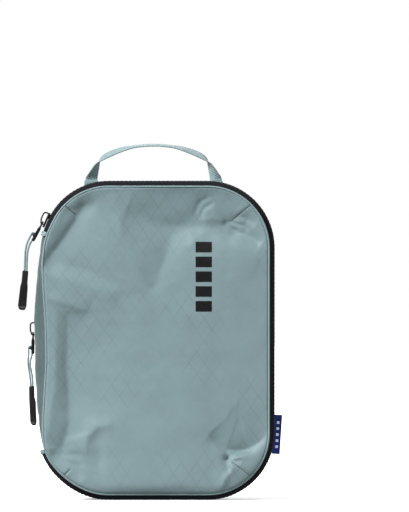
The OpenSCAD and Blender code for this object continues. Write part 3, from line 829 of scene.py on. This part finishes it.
# Folds of the front panel, as crease() takes them: path, depth, widths of the flanks, shares of
# the depth at the ends and, for the ones that are not simply soft, the rounding.
FRONT_FOLDS = [
    # Step down inside the hinge side's edge, and the slack cloth beside it
    ([(-73.5, 24), (-72.5, -20), (-71, -52), (-74, -90)], 3.9, 17, 4.8, (0.1, 0.8), 0.22),
    ([(-82, 26), (-82, -20), (-83, -60), (-87, -86)], -1.3, 4, 3.5, (0.2, 0.6)),
    ([(-54, 34), (-46, 0), (-46, -40), (-56, -68)], 1.3, 18, 26, (0.3, 0.2)),
    # Deep fold beside the upper left dart, and the wedge above it
    ([(-64, 101), (-71, 89), (-79, 74), (-91, 57)], 4.0, 17, 4.8, (0.8, 0.3), 0.25),
    ([(-77, 107), (-66, 105), (-50, 112)], 2.4, 3.5, 7, (0.4, 0.2)),
    # Hollow below the top edge
    ([(-26, 103), (-6, 98), (12, 93), (26, 94), (38, 91), (50, 98)], 4.4, 17, 13, (0.3, 0.5), 0.3),
    # The two flanks that meet in a point above the middle
    ([(34, 92), (22, 90), (12, 84), (9, 72), (4, 58), (-7, 39)], 4.6, 24, 34, (0.7, 0.5), 0.07),
    ([(-36, 120), (-27, 84), (-9, 42)], -2.4, 20, 13, (0.4, 0.5), 0.12),
    # Long soft folds that fall from the hinge side
    ([(-92, 56), (-62, 46), (-32, 33)], -1.3, 6, 9, (0.6, 0.1)),
    ([(-90, 66), (-60, 58), (-34, 45)], 1.0, 5, 6, (0.4, 0.2)),
    ([(-86, 34), (-72, 30), (-58, 23)], -1.8, 9, 3.5, (0.6, 0.1), 0.3),
    # Full belly towards the bottom
    ([(-46, -118), (44, -118)], -4.4, 46, 7, (0.6, 0.6)),
    # Broad lobe below the upper right corner
    ([(40, 88), (30, 83), (22, 74)], -0.9, 4, 4, (0.6, 0.2)),
    ([(58, 74), (84, 70)], -1.4, 9, 16, (0.5, 0.5)),
    # Gathers round the upper right dart
    ([(29, 103), (32, 111), (41, 116)], 1.9, 2.4, 2.6, (0.4, 0.3), 0.3),
    ([(34, 101), (37, 108), (44, 112)], 1.5, 1.8, 2.0, (0.6, 0.2), 0.3),
    ([(36, 98), (45, 99), (54, 97)], -1.0, 2.4, 3.0, (0.3, 0.5)),
    ([(43, 93), (48, 88), (56, 85), (66, 87)], 1.8, 3.0, 2.4, (0.2, 0.3)),
    ([(53, 94), (62, 88), (75, 84), (84, 79)], 3.8, 6.5, 5.0, (0.7, 0.2), 0.25),
    ([(60, 100), (70, 99), (80, 93)], 2.4, 5, 3.0, (0.8, 0.2), 0.25),
    ([(55, 97), (62, 96), (70, 93), (74, 88)], 2.0, 1.7, 1.9, (0.9, 0.1), 0.3),
    ([(55, 95), (60, 91), (66, 90)], 1.6, 1.4, 1.8, (0.9, 0.0), 0.3),
    # Folds round the lower left dart
    ([(-88, -80), (-78, -86), (-84, -103)], 2.6, 6, 4.5, (0.6, 0.3)),
    ([(-74, -98), (-66, -103), (-61, -114)], 1.7, 2.4, 7, (0.6, 0.1)),
    ([(-68, -76), (-68, -92)], -1.1, 8, 8, (0.3, 0.3)),
    ([(-59, -95), (-57, -78), (-51, -70), (-38, -67)], -2.0, 5, 3.2, (0.2, 0.1)),
    ([(-51, -76), (-47, -90), (-49, -106)], 1.2, 5, 9, (0.5, 0.1)),
    # Slack cloth above the lower right dart, and the star of folds round it
    ([(42, -76), (56, -89), (76, -86), (88, -76)], 5.0, 17, 3.6, (0.2, 0.4), 0.15),
    ([(55, -97), (63, -91), (76, -87)], 2.8, 3.0, 1.4, (0.8, 0.1), 0.3),
    ([(58, -97), (67, -93.5), (76, -91.5)], -1.2, 1.4, 2.2, (0.6, 0.1), 0.3),
    ([(57, -96), (62, -97.5), (68, -97)], 2.0, 1.4, 1.6, (0.9, 0.2), 0.3),
    ([(56, -95), (55, -102), (58, -108)], 2.2, 1.7, 2.2, (0.9, 0.2), 0.3),
    ([(60, -105), (49, -121)], -1.9, 2.4, 3.6, (0.8, 0.1), 0.3),
]

# A fold with a flank wider than this is broad
BROAD = 12
RASTER = 0.6
RASTER_X = np.arange(-HALF_W - 3, HALF_W + 3, RASTER)
RASTER_Y = np.arange(-HALF_H - 3, HALF_H + 3, RASTER)


def blurred(field, reach):
    """The field with detail smaller than reach, in mm, smoothed away."""
    half = int(3 * reach / RASTER)
    taps = np.exp(-0.5 * (np.arange(-half, half + 1) * RASTER / reach) ** 2)
    taps /= taps.sum()
    for axis in (0, 1):
        wide = np.pad(field, [(half, half) if k == axis else (0, 0) for k in (0, 1)], "edge")
        count = field.shape[axis]
        field = sum(
            tap * np.take(wide, np.arange(k, k + count), axis) for k, tap in enumerate(taps)
        )
    return field


def sampled(field, x, y):
    """The field's value at any [x, y], between its raster points."""
    column = np.clip((x - RASTER_X[0]) / RASTER, 0, len(RASTER_X) - 1.001)
    row = np.clip((y - RASTER_Y[0]) / RASTER, 0, len(RASTER_Y) - 1.001)
    i, j = row.astype(int), column.astype(int)
    up, right = row - i, column - j
    low, high = (
        field[k, j] * (1 - right) + field[k, j + 1] * right for k in (i, i + 1)
    )
    return low * (1 - up) + high * up


def front_folds():
    """The panel's folds on the raster. Broad soft ones are smoothed more than the rest."""
    x, y = np.meshgrid(RASTER_X, RASTER_Y)
    warp_x = x + 2.2 * ripple(x, y, 26, 1) + 0.7 * ripple(x, y, 9, 2)
    warp_y = y + 2.2 * ripple(x, y, 26, 3) + 0.7 * ripple(x, y, 9, 4)
    broad, sharp = np.zeros(x.shape), np.zeros(x.shape)
    for path, depth, left, right, ends, *rounding in FRONT_FOLDS:
        fold = crease(warp_x, warp_y, path, depth, left, right, ends, *rounding)
        if max(left, right) > BROAD and not rounding:
            broad += fold
        else:
            sharp += fold
    for path in DARTS.values():
        sharp += crease(x, y, path, -1.1, 5, 5, (0.5, 0.6), 0.8)
    fine = 0.30 * ripple(x, y, 23, 5) + 0.05 * ripple(x + 0.6 * y, y - 0.6 * x, 9, 6)
    fine += 0.16 * np.abs(ripple(warp_x, warp_y, 15, 7))
    return blurred(broad, 2.2) + blurred(sharp, 0.7) + fine


FOLD_FIELD = front_folds()


def pillowed(q, rise, soft, belly, reach):
    """A panel's height at a distance q in from its seam: a turned edge and a slight belly."""
    return rise * (1 - np.exp(-q / soft)) + belly * (1 - np.exp(-((q / reach) ** 2)))


def front_height(x, y):
    """How far the front panel stands out in front of its seam, in mm."""
    q = inset(x, y)
    folds = sampled(FOLD_FIELD, x, y)
    for path in DARTS.values():
        folds = folds + crease(x, y, path, 1.0, 0.6, 0.6, (1.0, 0.7), 0.3)
    return pillowed(q, 4.6, 0.55, 2.0, 45) + folds * (1 - np.exp(-q / 3))


def front_surface(x, y, lift=0.0):
    return slackened(points_at(x, SEAM_Y - front_height(x, y) - lift, y + MID_Z))


def front_normals(x, y):
    """Outward normals of the front panel, by small steps."""
    step = 0.2
    slope_x = (front_height(x + step, y) - front_height(x - step, y)) / (2 * step)
    slope_y = (front_height(x, y + step) - front_height(x, y - step)) / (2 * step)
    return unit(points_at(-slope_x, -1.0, -slope_y))


def panel_object(name, flat, points, flip, material=None):
    rows, cols = flat.shape[:2]
    faces, _ = grid_faces(rows, cols, False, False)
    if flip:
        faces = faces[:, ::-1]
    uv = flat.reshape(-1, 2)[faces]
    return mesh_object(name, points.reshape(-1, 3), faces, "panel_ripstop", uv, material)


def panel_sheet(name, flat, points, flip, body, node):
    """A panel of cloth, thickened and ridden on its body in place of its CAD node."""
    cloth = placed(panel_object(name, flat, points, flip), body, node)
    thicken(cloth, 0.35)


def make_front_panel():
    flat = seam_grid(224, 304)
    points = front_surface(flat[..., 0], flat[..., 1])
    panel_sheet("front_cloth", flat, points, False, "lid", "front_panel")


def on_front(path):
    """Points and normals just over the front panel, along a path of [x, y]."""
    x, y = smooth_path(path, 0.5).T
    return front_surface(x, y, 0.1), front_normals(x, y)


def make_front_seams():
    """The turned edge of the panel, the stitched darts, and a painted shadow along each dart."""
    # The turned edge wears the lighter edge cloth: a painted highlight line round the panel.
    edge = tube("front_edge_roll", rail(step=1.5), -0.2, SEAM_Y - 3.5, 0.75, "edge_trim")
    placed(edge, "lid", "front_edge_trim")
    beside = 0.9
    for name, dart in DARTS.items():
        # A dark tube along each dart: painted shadow in the dart's crease.
        placed(swept_tube(f"dart_{name}_fold", on_front(dart)[0], 0.32, "panel_ripstop", 8,
                          DART_PAINTED_SHADOW), "lid")
        way = unit(np.subtract(dart[-1], dart[0]))
        path, up = on_front(np.array(dart) + beside * np.array([-way[1], way[0]]))
        placed(stitches(f"dart_{name}_stitch", path, up, "edge_trim", 1.7, 0.8, 0.2), "lid")


def make_front_mark():
    """A plain column of five printed bars, the same all the way down."""
    left, right = 30.4, 43.6
    top, bar, gap = 80.0, 8.6, 3.4
    for k in range(5):
        high = top - k * (bar + gap)
        x, y = np.meshgrid(np.linspace(left, right, 18), np.linspace(high, high - bar, 13))
        placed(panel_object(f"printed_bar_{k + 1}", np.stack([x, y], -1),
                            front_surface(x, y, 0.07), True, PRINT_FINISH), "lid")


BACK_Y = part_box("back_panel")[0].y / MM


def back_height(x, y):
    """How far the back panel stands out behind its seam, in mm."""
    q = inset(x, y)
    folds = crease(x, y, [(-70, 90), (-30, 40), (10, 20)], 1.0, 12, 9, (0.2, 0.1))
    folds += crease(x, y, [(78, 60), (40, 10), (45, -50)], 0.9, 10, 14, (0.3, 0.1))
    folds += crease(x, y, [(-60, -100), (-20, -60), (30, -70)], 0.9, 9, 12, (0.3, 0.1))
    fine = 0.35 * ripple(x, y, 24, 11) + 0.14 * ripple(x - 0.5 * y, y, 10, 12)
    return pillowed(q, 1.6, 4, 2.6, 40) + (folds + fine) * (1 - np.exp(-q / 6))


def make_back_panel():
    flat = seam_grid(120, 166, True)
    x, y = flat[..., 0], flat[..., 1]
    points = points_at(x, BACK_Y + back_height(x, y), y + MID_Z)
    panel_sheet("back_cloth", flat, points, True, "back_shell", "back_panel")
    run = rail(True, step=1.5)
    placed(tube("back_edge_roll", run, 0.3, BACK_Y + 0.45, 0.6, "panel_ripstop"), "back_shell")
    x, y = looped(run.points - run.normals * 2.1).T
    path = points_at(x, BACK_Y + back_height(x, y) + 0.05, y + MID_Z)
    placed(stitches("back_topstitch", path, (0, 1, 0), "panel_ripstop"), "back_shell")


# ---- Zips ----


def coil(name, node, run, out, y, side, body):
    """One row of nylon coil as a helix; side says which way its heads point along y."""
    pitch, points_per_turn, sides = 1.35, 7, 4
    radius_out, radius_y, wire = 0.62, 0.95, 0.3
    total = run.length[-1]
    s = np.linspace(0, total, int(total / pitch) * points_per_turn)
    normal = along(looped(run.normals, run.closed), run.length, s)
    phase = 2 * math.pi * s / pitch
    x, height = (along(run.path, run.length, s)
                 + normal * (out + radius_out * np.cos(phase))[:, None]).T
    path = slackened(points_at(x, y + side * radius_y * np.sin(phase), height + MID_Z))
    way = unit(np.gradient(path, axis=0))
    first = unit(np.cross(way, np.insert(normal, 1, 0, 1)))
    grid = sweep(path, first, np.cross(first, way), wire, sides)
    placed(grid_object(name, grid, "zip_coil", s, np.arange(sides) * 0.4, False, True), body, node)


def tape_edge(out, y, way):
    """The end of a tape's cross-section that turns in beside the coil; way is 1 or -1."""
    return [(out - 0.9, y), (out - 0.2, y + way * 0.3), (out, y + way * 1.2)]


def zip_rows(y, way):
    """Where one side of a zip at depth y has its tape's edge and its row of coil."""
    return y + way * (SLIT / 2 - 0.25), y + way * (SLIT / 2 + 0.6)


def make_main_zip():
    lid_edge, lid_row = zip_rows(MAIN_ZIP_Y, -1)
    side_edge, side_row = zip_rows(MAIN_ZIP_Y, 1)
    slope_end = SEAM_Y + LID_OUT
    slope = [(-2.0, SEAM_Y + 0.15), (-0.2, SEAM_Y + 0.1), (0.9, SEAM_Y + 0.7),
             (2.3, SEAM_Y + 1.9), (3.5, SEAM_Y + 3.3), (LID_OUT, slope_end)]
    lid_flat = [(LID_OUT, slope_end), (LID_OUT + 0.15, slope_end + 1.5),
                (LID_OUT + 0.15, lid_edge - 1.2), (LID_OUT - 0.05, lid_edge - 0.3),
                (LID_OUT - 0.7, lid_edge)]
    side_flat = tape_edge(WALL_OUT, side_edge, 1) + [(WALL_OUT, GUSSET_FRONT_Y - 1.5),
                                                     (WALL_OUT - 0.1, GUSSET_FRONT_Y)]
    slope_run = rail(first=ZIP_TOP_ANGLE + 0.6, last=ZIP_LOW_ANGLE + 0.6)
    lid_run = rail(first=POCKET_ANGLE, last=ZIP_LOW_ANGLE + 0.6)
    side_run = rail(first=ZIP_TOP_ANGLE, last=ZIP_LOW_ANGLE)
    for name, run, profile, body, node in (
        ("lid_tape_slope", slope_run, slope, "lid", None),
        ("lid_tape_strip", lid_run, lid_flat, "lid", "lid_zip_tape"),
        ("side_tape_strip", side_run, side_flat, "front_shell", "side_zip_tape"),
    ):
        placed(strip(name, run, profile, "zip_tape", TAPE_THICK), body, node)
    coil("lid_coil", "lid_zip_coil", rail(first=POCKET_ANGLE, last=ZIP_LOW_ANGLE + 1, step=1),
         LID_OUT - COIL_DEPTH, lid_row, 1, "lid")
    coil("side_coil", "side_zip_coil",
         rail(first=ZIP_TOP_ANGLE + 4, last=ZIP_LOW_ANGLE + 4, step=1),
         WALL_OUT - COIL_DEPTH, side_row, -1, "front_shell")
    placed(rail_stitches("lid_tape_stitch", lid_run, LID_OUT + 0.2, slope_end + 1.4, 4), "lid")
    placed(rail_stitches("side_tape_stitch", side_run, WALL_OUT + 0.05, GUSSET_FRONT_Y - 1.3, 4),
           "front_shell")
    refined("main_zip_stops", "front_shell", "zip_coil", 0.3, 3)


def make_squeeze_zip():
    run, fine = rail(True), rail(True, step=1)
    box_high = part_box("squeeze_tape_back")[1].y / MM
    sides = (("front", "fore", WALL_OUT, GUSSET_BACK_Y, -1, "front_shell"),
             ("back", "aft", LID_OUT, box_high, 1, "back_shell"))
    for side, _, out, far, way, body in sides:
        profile = tape_edge(out, zip_rows(SQUEEZE_ZIP_Y, way)[0], way) + [(out, far)]
        placed(strip(f"squeeze_{side}_strip", run, profile[::way], "zip_tape", TAPE_THICK), body,
               "squeeze_tape_" + side)
    for side, other, out, _, way, body in sides:
        coil("squeeze_coil_" + other, "squeeze_coil_" + side, fine, out - COIL_DEPTH,
             zip_rows(SQUEEZE_ZIP_Y, way)[1], -way, body)
    for side, _, out, far, way, body in sides:
        placed(rail_stitches(f"squeeze_{side}_stitch", run, out + 0.05, far - way * 1.3, 0), body)


# ---- Walls ----


def wall_wobble(depth, size, seed):
    """Soft ripples across a wall that fade out at its two seams."""

    def wobble(s, share):
        fade = math.sin(math.pi * share)
        across = np.full_like(s, share * 12)
        waves = ripple(s, across, size, seed) + 0.4 * ripple(s, across, size / 3, seed + 1)
        return depth * fade * (waves - 1)

    return wobble


def even_profile(points, count):
    run = lengths(points)
    return along(points, run, np.linspace(0, run[-1], count))


def make_walls():
    run = rail(True, step=1.5)
    front = [(WALL_OUT - 0.15, GUSSET_FRONT_Y), (WALL_OUT, GUSSET_BACK_Y)]
    placed(strip("front_gusset_cloth", run, even_profile(front, 9), "gusset_ripstop", 0.5,
                 wall_wobble(0.35, 17, 21)), "front_shell", "front_gusset")
    low, high = (corner.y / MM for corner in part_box("back_gusset"))
    back = [(LID_OUT, low), (LID_OUT - 0.2, low + 1), (2.2, high - 2.4), (0.4, high - 0.4),
            (-0.4, high)]
    placed(strip("back_gusset_cloth", run, even_profile(back, 9), "gusset_ripstop", 0.5,
                 wall_wobble(0.4, 20, 31)), "back_shell", "back_gusset")
    wall_in = WALL_OUT - 1.2
    folded = [(wall_in, 6.2), (0, 6.3), (-5.5, 7.5), (-7.3, 10), (-7.9, 13), (-7.3, 16),
              (-5.5, 18.5), (0, 19.7), (wall_in - 1, 19.8)]
    pleat = strip("pleat_cloth", run, even_profile(folded, 21), "gusset_ripstop", 0.4,
                  wall_wobble(0.3, 15, 41))
    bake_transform(pleat)
    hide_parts("expansion_gusset")
    all_round = rail(True)
    zipped = rail(first=ZIP_TOP_ANGLE, last=ZIP_LOW_ANGLE)
    for name, node, out, low, high, body, bound in (
        ("front_binding_tape", "front_gusset_binding", WALL_OUT - 1.0, GUSSET_FRONT_Y - 3,
         GUSSET_FRONT_Y + 3, "front_shell", all_round),
        ("back_binding_tape", "back_seam_binding", -2.3, 24.2, 27.0, "back_shell", all_round),
        ("lid_binding_tape", "lid_seam_binding", -2.3, SEAM_Y + 0.2, SEAM_Y + 3, "lid", zipped),
    ):
        profile = [(out, low), (out - 0.25, low + 0.3), (out - 0.35, (low + high) / 2),
                   (out - 0.25, high - 0.3), (out, high)]
        placed(strip(name, bound, profile, "binding_tape", 0.6), body, node)


def wall_x(y, out):
    """x of the bowed wall on the hinge side at height y."""
    corner = -CX - np.sqrt(np.maximum((CORNER_R + out) ** 2 - (np.abs(y) - CY) ** 2, 0))
    bowed = BOW_X - np.sqrt((BOW_R + out) ** 2 - y**2)
    turn = (CORNER_R + out) * math.sin(math.radians(BOW_ANGLE)) + CY
    return np.where(np.abs(y) <= turn, bowed, corner)


def seam_x(y):
    past = np.maximum(np.abs(y) - CY, 0)
    return -CX - np.sqrt(CORNER_R**2 - past**2)


def make_hinge_panel():
    """The side strip that the lid folds on: cloth that puffs out, with two sewn lines."""
    low, high = (corner.z / MM - MID_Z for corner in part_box("hinge_panel"))
    rows, cols = 136, 26
    # It runs on behind the ends of the zip
    y = np.linspace(low - 5, high + 5, rows)[:, None]
    t = np.linspace(0, 1, cols)[None, :]
    tuck = 1.3 * np.clip(np.maximum(low + 1 - y, y - high + 1) / 2, 0, 1)
    x0 = seam_x(y) - slack_at(y) * (1 - t) + tuck
    x1 = wall_x(y, WALL_OUT) + tuck
    puff = np.maximum(4.3 * (1 - (np.abs(y) / (CY + CORNER_R / 2)) ** 2.5), 0)
    x = x0 + (x1 - x0) * t - puff * np.sin(np.pi * t)
    depth = SEAM_Y + 0.1 + (GUSSET_FRONT_Y - SEAM_Y - 0.1) * t
    fade = np.sin(np.pi * t)
    drape = ripple(y + 6 * t, t * 14, 19, 51) * 0.9 + ripple(y - 4 * t, t * 14, 7, 52) * 0.25
    x = x - fade * drape
    # Felled seams, where the cloth steps in: place across the strip, width and depth
    for place, width, step_in in ((0.2, 0.035, 0.55), (0.62, 0.03, 0.4)):
        x = x + step_in * np.exp(-(((t - place) / width) ** 2))
    grid = points_at(x, depth, y + MID_Z)
    cloth = grid_object("hinge_cloth", grid, "gusset_ripstop", y[:, 0], np.linspace(0, 22, cols))
    thicken(cloth, 0.4)
    hinged(cloth, "hinge_panel")
    up = np.array([-0.9, -0.45, 0.0])
    for k, column in enumerate((3, 7)):
        path = grid[8:-8, column] + up * 0.05
        seam = stitches(f"hinge_stitch_{k + 1}", path, up, "gusset_ripstop")
        hinged(seam)
    low, high = (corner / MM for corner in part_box("hinge_seam_binding"))
    z = np.linspace(low.z, high.z, 60)
    across = np.linspace(low.y, high.y, 6)
    waved = (low.x + high.x) / 2 + 0.2 * np.sin(z / 9)
    grid = points_at(waved[:, None], across, z[:, None])
    tape = grid_object("hinge_binding_tape", grid, "binding_tape", z, across - across[0])
    placed(thicken(tape, 0.7, 0.0), "front_shell", "hinge_seam_binding")


# ---- Tabs, handle and label ----


def tab_run(corner_y, first, last):
    """A short rail round a hinge-side corner, between two angles in degrees."""
    angle = np.radians(np.linspace(180 - first, 180 - last, 14))
    way = np.column_stack([np.cos(angle), np.sin(angle)])
    return Rail(np.array([-CX, corner_y]) + CORNER_R * way, way, False)


def pillow(count, height):
    """Rounded edges and a slightly full middle, as on a folded and pressed tab."""
    share = np.linspace(-1, 1, count)
    return height * (1 - np.abs(share) ** 5) + 0.25 * height * (1 - share**2)


def zip_end_tab(node, corner_y, first, last):
    """A folded tab round one end of the main zip, sewn down with two rows of stitches."""
    run = tab_run(corner_y, first, last)
    wrap = even_profile(
        [(0.9, SEAM_Y - 0.4), (2.6, SEAM_Y + 1.1), (4.4, SEAM_Y + 3.4), (5.0, SEAM_Y + 6),
         (5.0, GUSSET_FRONT_Y + 0.4)], 26,
    )
    lift = pillow(run.count, 0.32)
    columns = []
    for out, depth in wrap:
        end = 1 - 0.8 * np.exp(-min(depth - wrap[0][1], wrap[-1][1] - depth) / 0.4)
        columns.append(run.at(out, depth, lift * end))
    grid = np.stack(columns, 1)
    cloth = grid_object(node + "_cloth", grid, "edge_trim", run.length, lengths(wrap), flip=True)
    thicken(cloth, 0.55)
    hinged(cloth, node)
    for k, row in enumerate((3, run.count - 4)):
        x, z = run.normals[row]
        seam = stitches(f"{node}_stitch_{k + 1}", grid[row, 2:-2], (x, -0.25, z), "edge_trim",
                        1.3, 0.7, 0.16, DARK_THREAD)
        hinged(seam)


def squeeze_end_tab():
    """The folded tab over the start of the compression zip."""
    node = "squeeze_zip_end_tab"
    low, high = (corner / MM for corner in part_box(node))
    rows, cols = 15, 13
    z = np.linspace(low.z, high.z, rows)
    depth = np.linspace(low.y, high.y, cols)
    lift = np.minimum(pillow(rows, 0.35)[:, None], pillow(cols, 0.35)[None, :])
    x = wall_x(z - MID_Z, WALL_OUT + 0.45)[:, None] - lift
    grid = points_at(x, depth, z[:, None])
    cloth = grid_object(node + "_cloth", grid, "edge_trim", z, depth)
    placed(thicken(cloth, 0.5), "front_shell", node)
    path = np.vstack([grid[2, 2:-2], grid[2:-2, -3], grid[-3, -3:1:-1], grid[-3:1:-1, 2]])
    placed(stitches(node + "_stitch", path, (-1, 0, 0), "edge_trim", 1.2, 0.6, 0.15, DARK_THREAD),
           "front_shell")


def make_tabs():
    zip_end_tab("upper_zip_end_tab", CY, ZIP_TOP_ANGLE - 3.6, ZIP_TOP_ANGLE + 0.3)
    zip_end_tab("lower_zip_end_tab", -CY, -ZIP_LOW_ANGLE - 0.3, -ZIP_LOW_ANGLE + 3.6)
    squeeze_end_tab()
    for side in ("left", "right"):
        node = side + "_handle_tack"
        refined(node, "front_shell", "handle_webbing", 0.3, 3)
        low, high = (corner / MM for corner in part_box(node))
        x = np.linspace(low.x + 1, high.x - 1, 24)
        for k, beside in enumerate((-0.9, 0.9)):
            path = points_at(x, (low.y + high.y) / 2 + beside, high.z + 0.05)
            placed(stitches(f"{node}_stitch_{k + 1}", path, (0, 0, 1), "handle_webbing", 1.6, 0.5,
                            0.16), "front_shell")


def make_handle():
    """Ribbed webbing in an arch: it twists above its feet until its top shows."""
    low, high = (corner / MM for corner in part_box("handle_webbing"))
    width, thick = 10.0, 1.2
    middle = (low + high) / 2
    half_span = (high.x - low.x - width) / 2
    foot_z = low.z
    rise = high.z - foot_z - thick / 2
    # Shares of the half span and of the rise, from inside the pad to the top of the arch
    leg = [(0, -0.06), (0, 0), (0.023, 0.12), (0.066, 0.31), (0.11, 0.47), (0.18, 0.62),
           (0.30, 0.745), (0.465, 0.86), (0.635, 0.94), (0.82, 0.987)]
    arch = leg + [(1, 1)] + [(2 - u, w) for u, w in reversed(leg)]
    x, z = smooth_path([(u * half_span, w * rise) for u, w in arch], 0.75).T
    mid = points_at(middle.x - half_span + x, middle.y, foot_z + z)
    tangent = unit(np.gradient(mid, axis=0))
    normal = np.cross(tangent, [0, 1, 0])
    run = lengths(mid)
    from_foot = np.minimum(run, run[-1] - run)
    twist = smooth_path([(-2, 0), (0, 0), (2, 8), (5, 34), (10.5, 57), (15, 74), (20, 103),
                         (26, 114), (34, 113), (41, 108), (49, 101), (60, 99)], 0.5)
    turn = np.radians(np.interp(from_foot, twist[:, 0], twist[:, 1]))
    # The outer edge of the webbing comes forward as it twists
    face = np.cos(turn)[:, None] * normal - np.sin(turn)[:, None] * np.array([0, 1.0, 0])
    flat = np.cross(tangent, face)
    section = [(share * (width / 2 - 0.3), thick / 2 - 0.12 * abs(share) ** 6)
               for share in np.linspace(-1, 1, 15)]
    ring = ([(-width / 2, 0.0)] + section + [(width / 2, 0.0)]
            + [(a, -b) for a, b in reversed(section)])
    grid = np.stack([mid + a * face + b * flat for a, b in ring], 1)
    webbing = grid_object("handle_band", grid, "handle_webbing", run, lengths(ring), False, True)
    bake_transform(webbing)
    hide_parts("handle_webbing")


def make_label():
    """Folded woven label with a plain row of squares."""
    low, high = (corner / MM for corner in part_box("side_label"))
    width, height, lean = 6.6, 32.0, math.radians(3.6)
    start, foot_z = HALF_W + 2.2, 37.2
    centre_y = (low.y + high.y) / 2

    def spot(out, up):
        """Its middle layer at a distance out from the seam and a distance up."""
        return (start + out * math.cos(lean) + up * math.sin(lean),
                centre_y + 0.35 * np.sin(math.pi * out / width) + 0.25 * np.sin(up / height * 5),
                foot_z - out * math.sin(lean) + up * math.cos(lean))

    up = np.linspace(0, height, 40)[:, None]
    out = np.linspace(0, width, 12)
    x, y, z = spot(out, up)
    past = np.maximum(MID_Z - CY - z, 0)
    wall = CX + np.sqrt((CORNER_R + WALL_OUT - 0.4) ** 2 - past**2)
    x = np.maximum(x, wall + 0.02 * out)
    apart = 0.28 * np.minimum(1, (width - out) / 0.8 + 0.15)
    back, front = points_at(x, y - apart, z), points_at(x, y + apart, z)
    grid = np.concatenate([back, front[:, ::-1]], 1)
    label = grid_object("label_cloth_fold", grid, "label_cloth", up[:, 0],
                        np.linspace(0, 2 * width, 2 * len(out)))
    thicken(label, 0.25)
    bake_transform(label)
    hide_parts("side_label")
    side, first, spacing, inner = 2.1, 5.0, 4.9, 2.6
    for k in range(5):
        a = np.linspace(first + k * spacing, first + k * spacing + side, 6)[:, None]
        b = np.linspace(inner, inner + side, 6)
        x, y, z = spot(b, a)
        square = grid_object(f"label_square_{k + 1}", points_at(x, y - 0.36, z), "label_cloth",
                             a[:, 0], b, material=LABEL_FINISH)
        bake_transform(square)


# ---- Floor ----


def stage_object(name, mesh, material):
    """A part of the studio that the camera sees, and that neither lights nor shades the case."""
    obj = scene_object(name, mesh)
    mesh.materials.append(material)
    obj.visible_diffuse = obj.visible_glossy = obj.visible_shadow = False
    return obj


def make_floor():
    """A pale floor that fades to white away from the case."""
    size = 14.0
    mesh = bpy.data.meshes.new("floor")
    corners = [(-size, -size, 0), (size, -size, 0), (size, size, 0), (-size, size, 0)]
    mesh.from_pydata(corners, [], [(0, 1, 2, 3)])
    shader = Shader("floor", (0.8, 0.8, 0.8), 0.7, 0.1)
    shader.set("Emission Color", (1, 1, 1, 1))
    place = shader.node("ShaderNodeVectorMath", operation="LENGTH")
    shader.link(shader.node("ShaderNodeTexCoord").outputs["Object"], place.inputs[0])
    glow = map_range(shader.tree, place.outputs["Value"], (0.2, 1.2), (0.30, 0.90), "LINEAR")
    shader.link(glow, shader.base.inputs["Emission Strength"])
    shader.tint(shader.spread(shader.noise(3, 2), 0.98, 1.02))
    stage_object("floor", mesh, shader.material)


def make_backdrop():
    """A white room all round. The light of the world comes in through it."""
    mesh = bpy.data.meshes.new("backdrop")
    ball = bmesh.new()
    bmesh.ops.create_uvsphere(ball, u_segments=48, v_segments=24, radius=18)
    ball.to_mesh(mesh)
    ball.free()
    shader = Shader("backdrop", (0, 0, 0), 1.0, 0.0)
    shader.set("Emission Color", (1, 1, 1, 1))
    shader.set("Emission Strength", 1.0)
    stage_object("backdrop", mesh, shader.material).visible_transmission = False


make_camera()
make_studio()
make_pulls()
make_front_panel()
make_front_seams()
make_front_mark()
make_back_panel()
make_main_zip()
make_squeeze_zip()
make_walls()
make_hinge_panel()
make_tabs()
make_handle()
make_label()
make_floor()
make_backdrop()
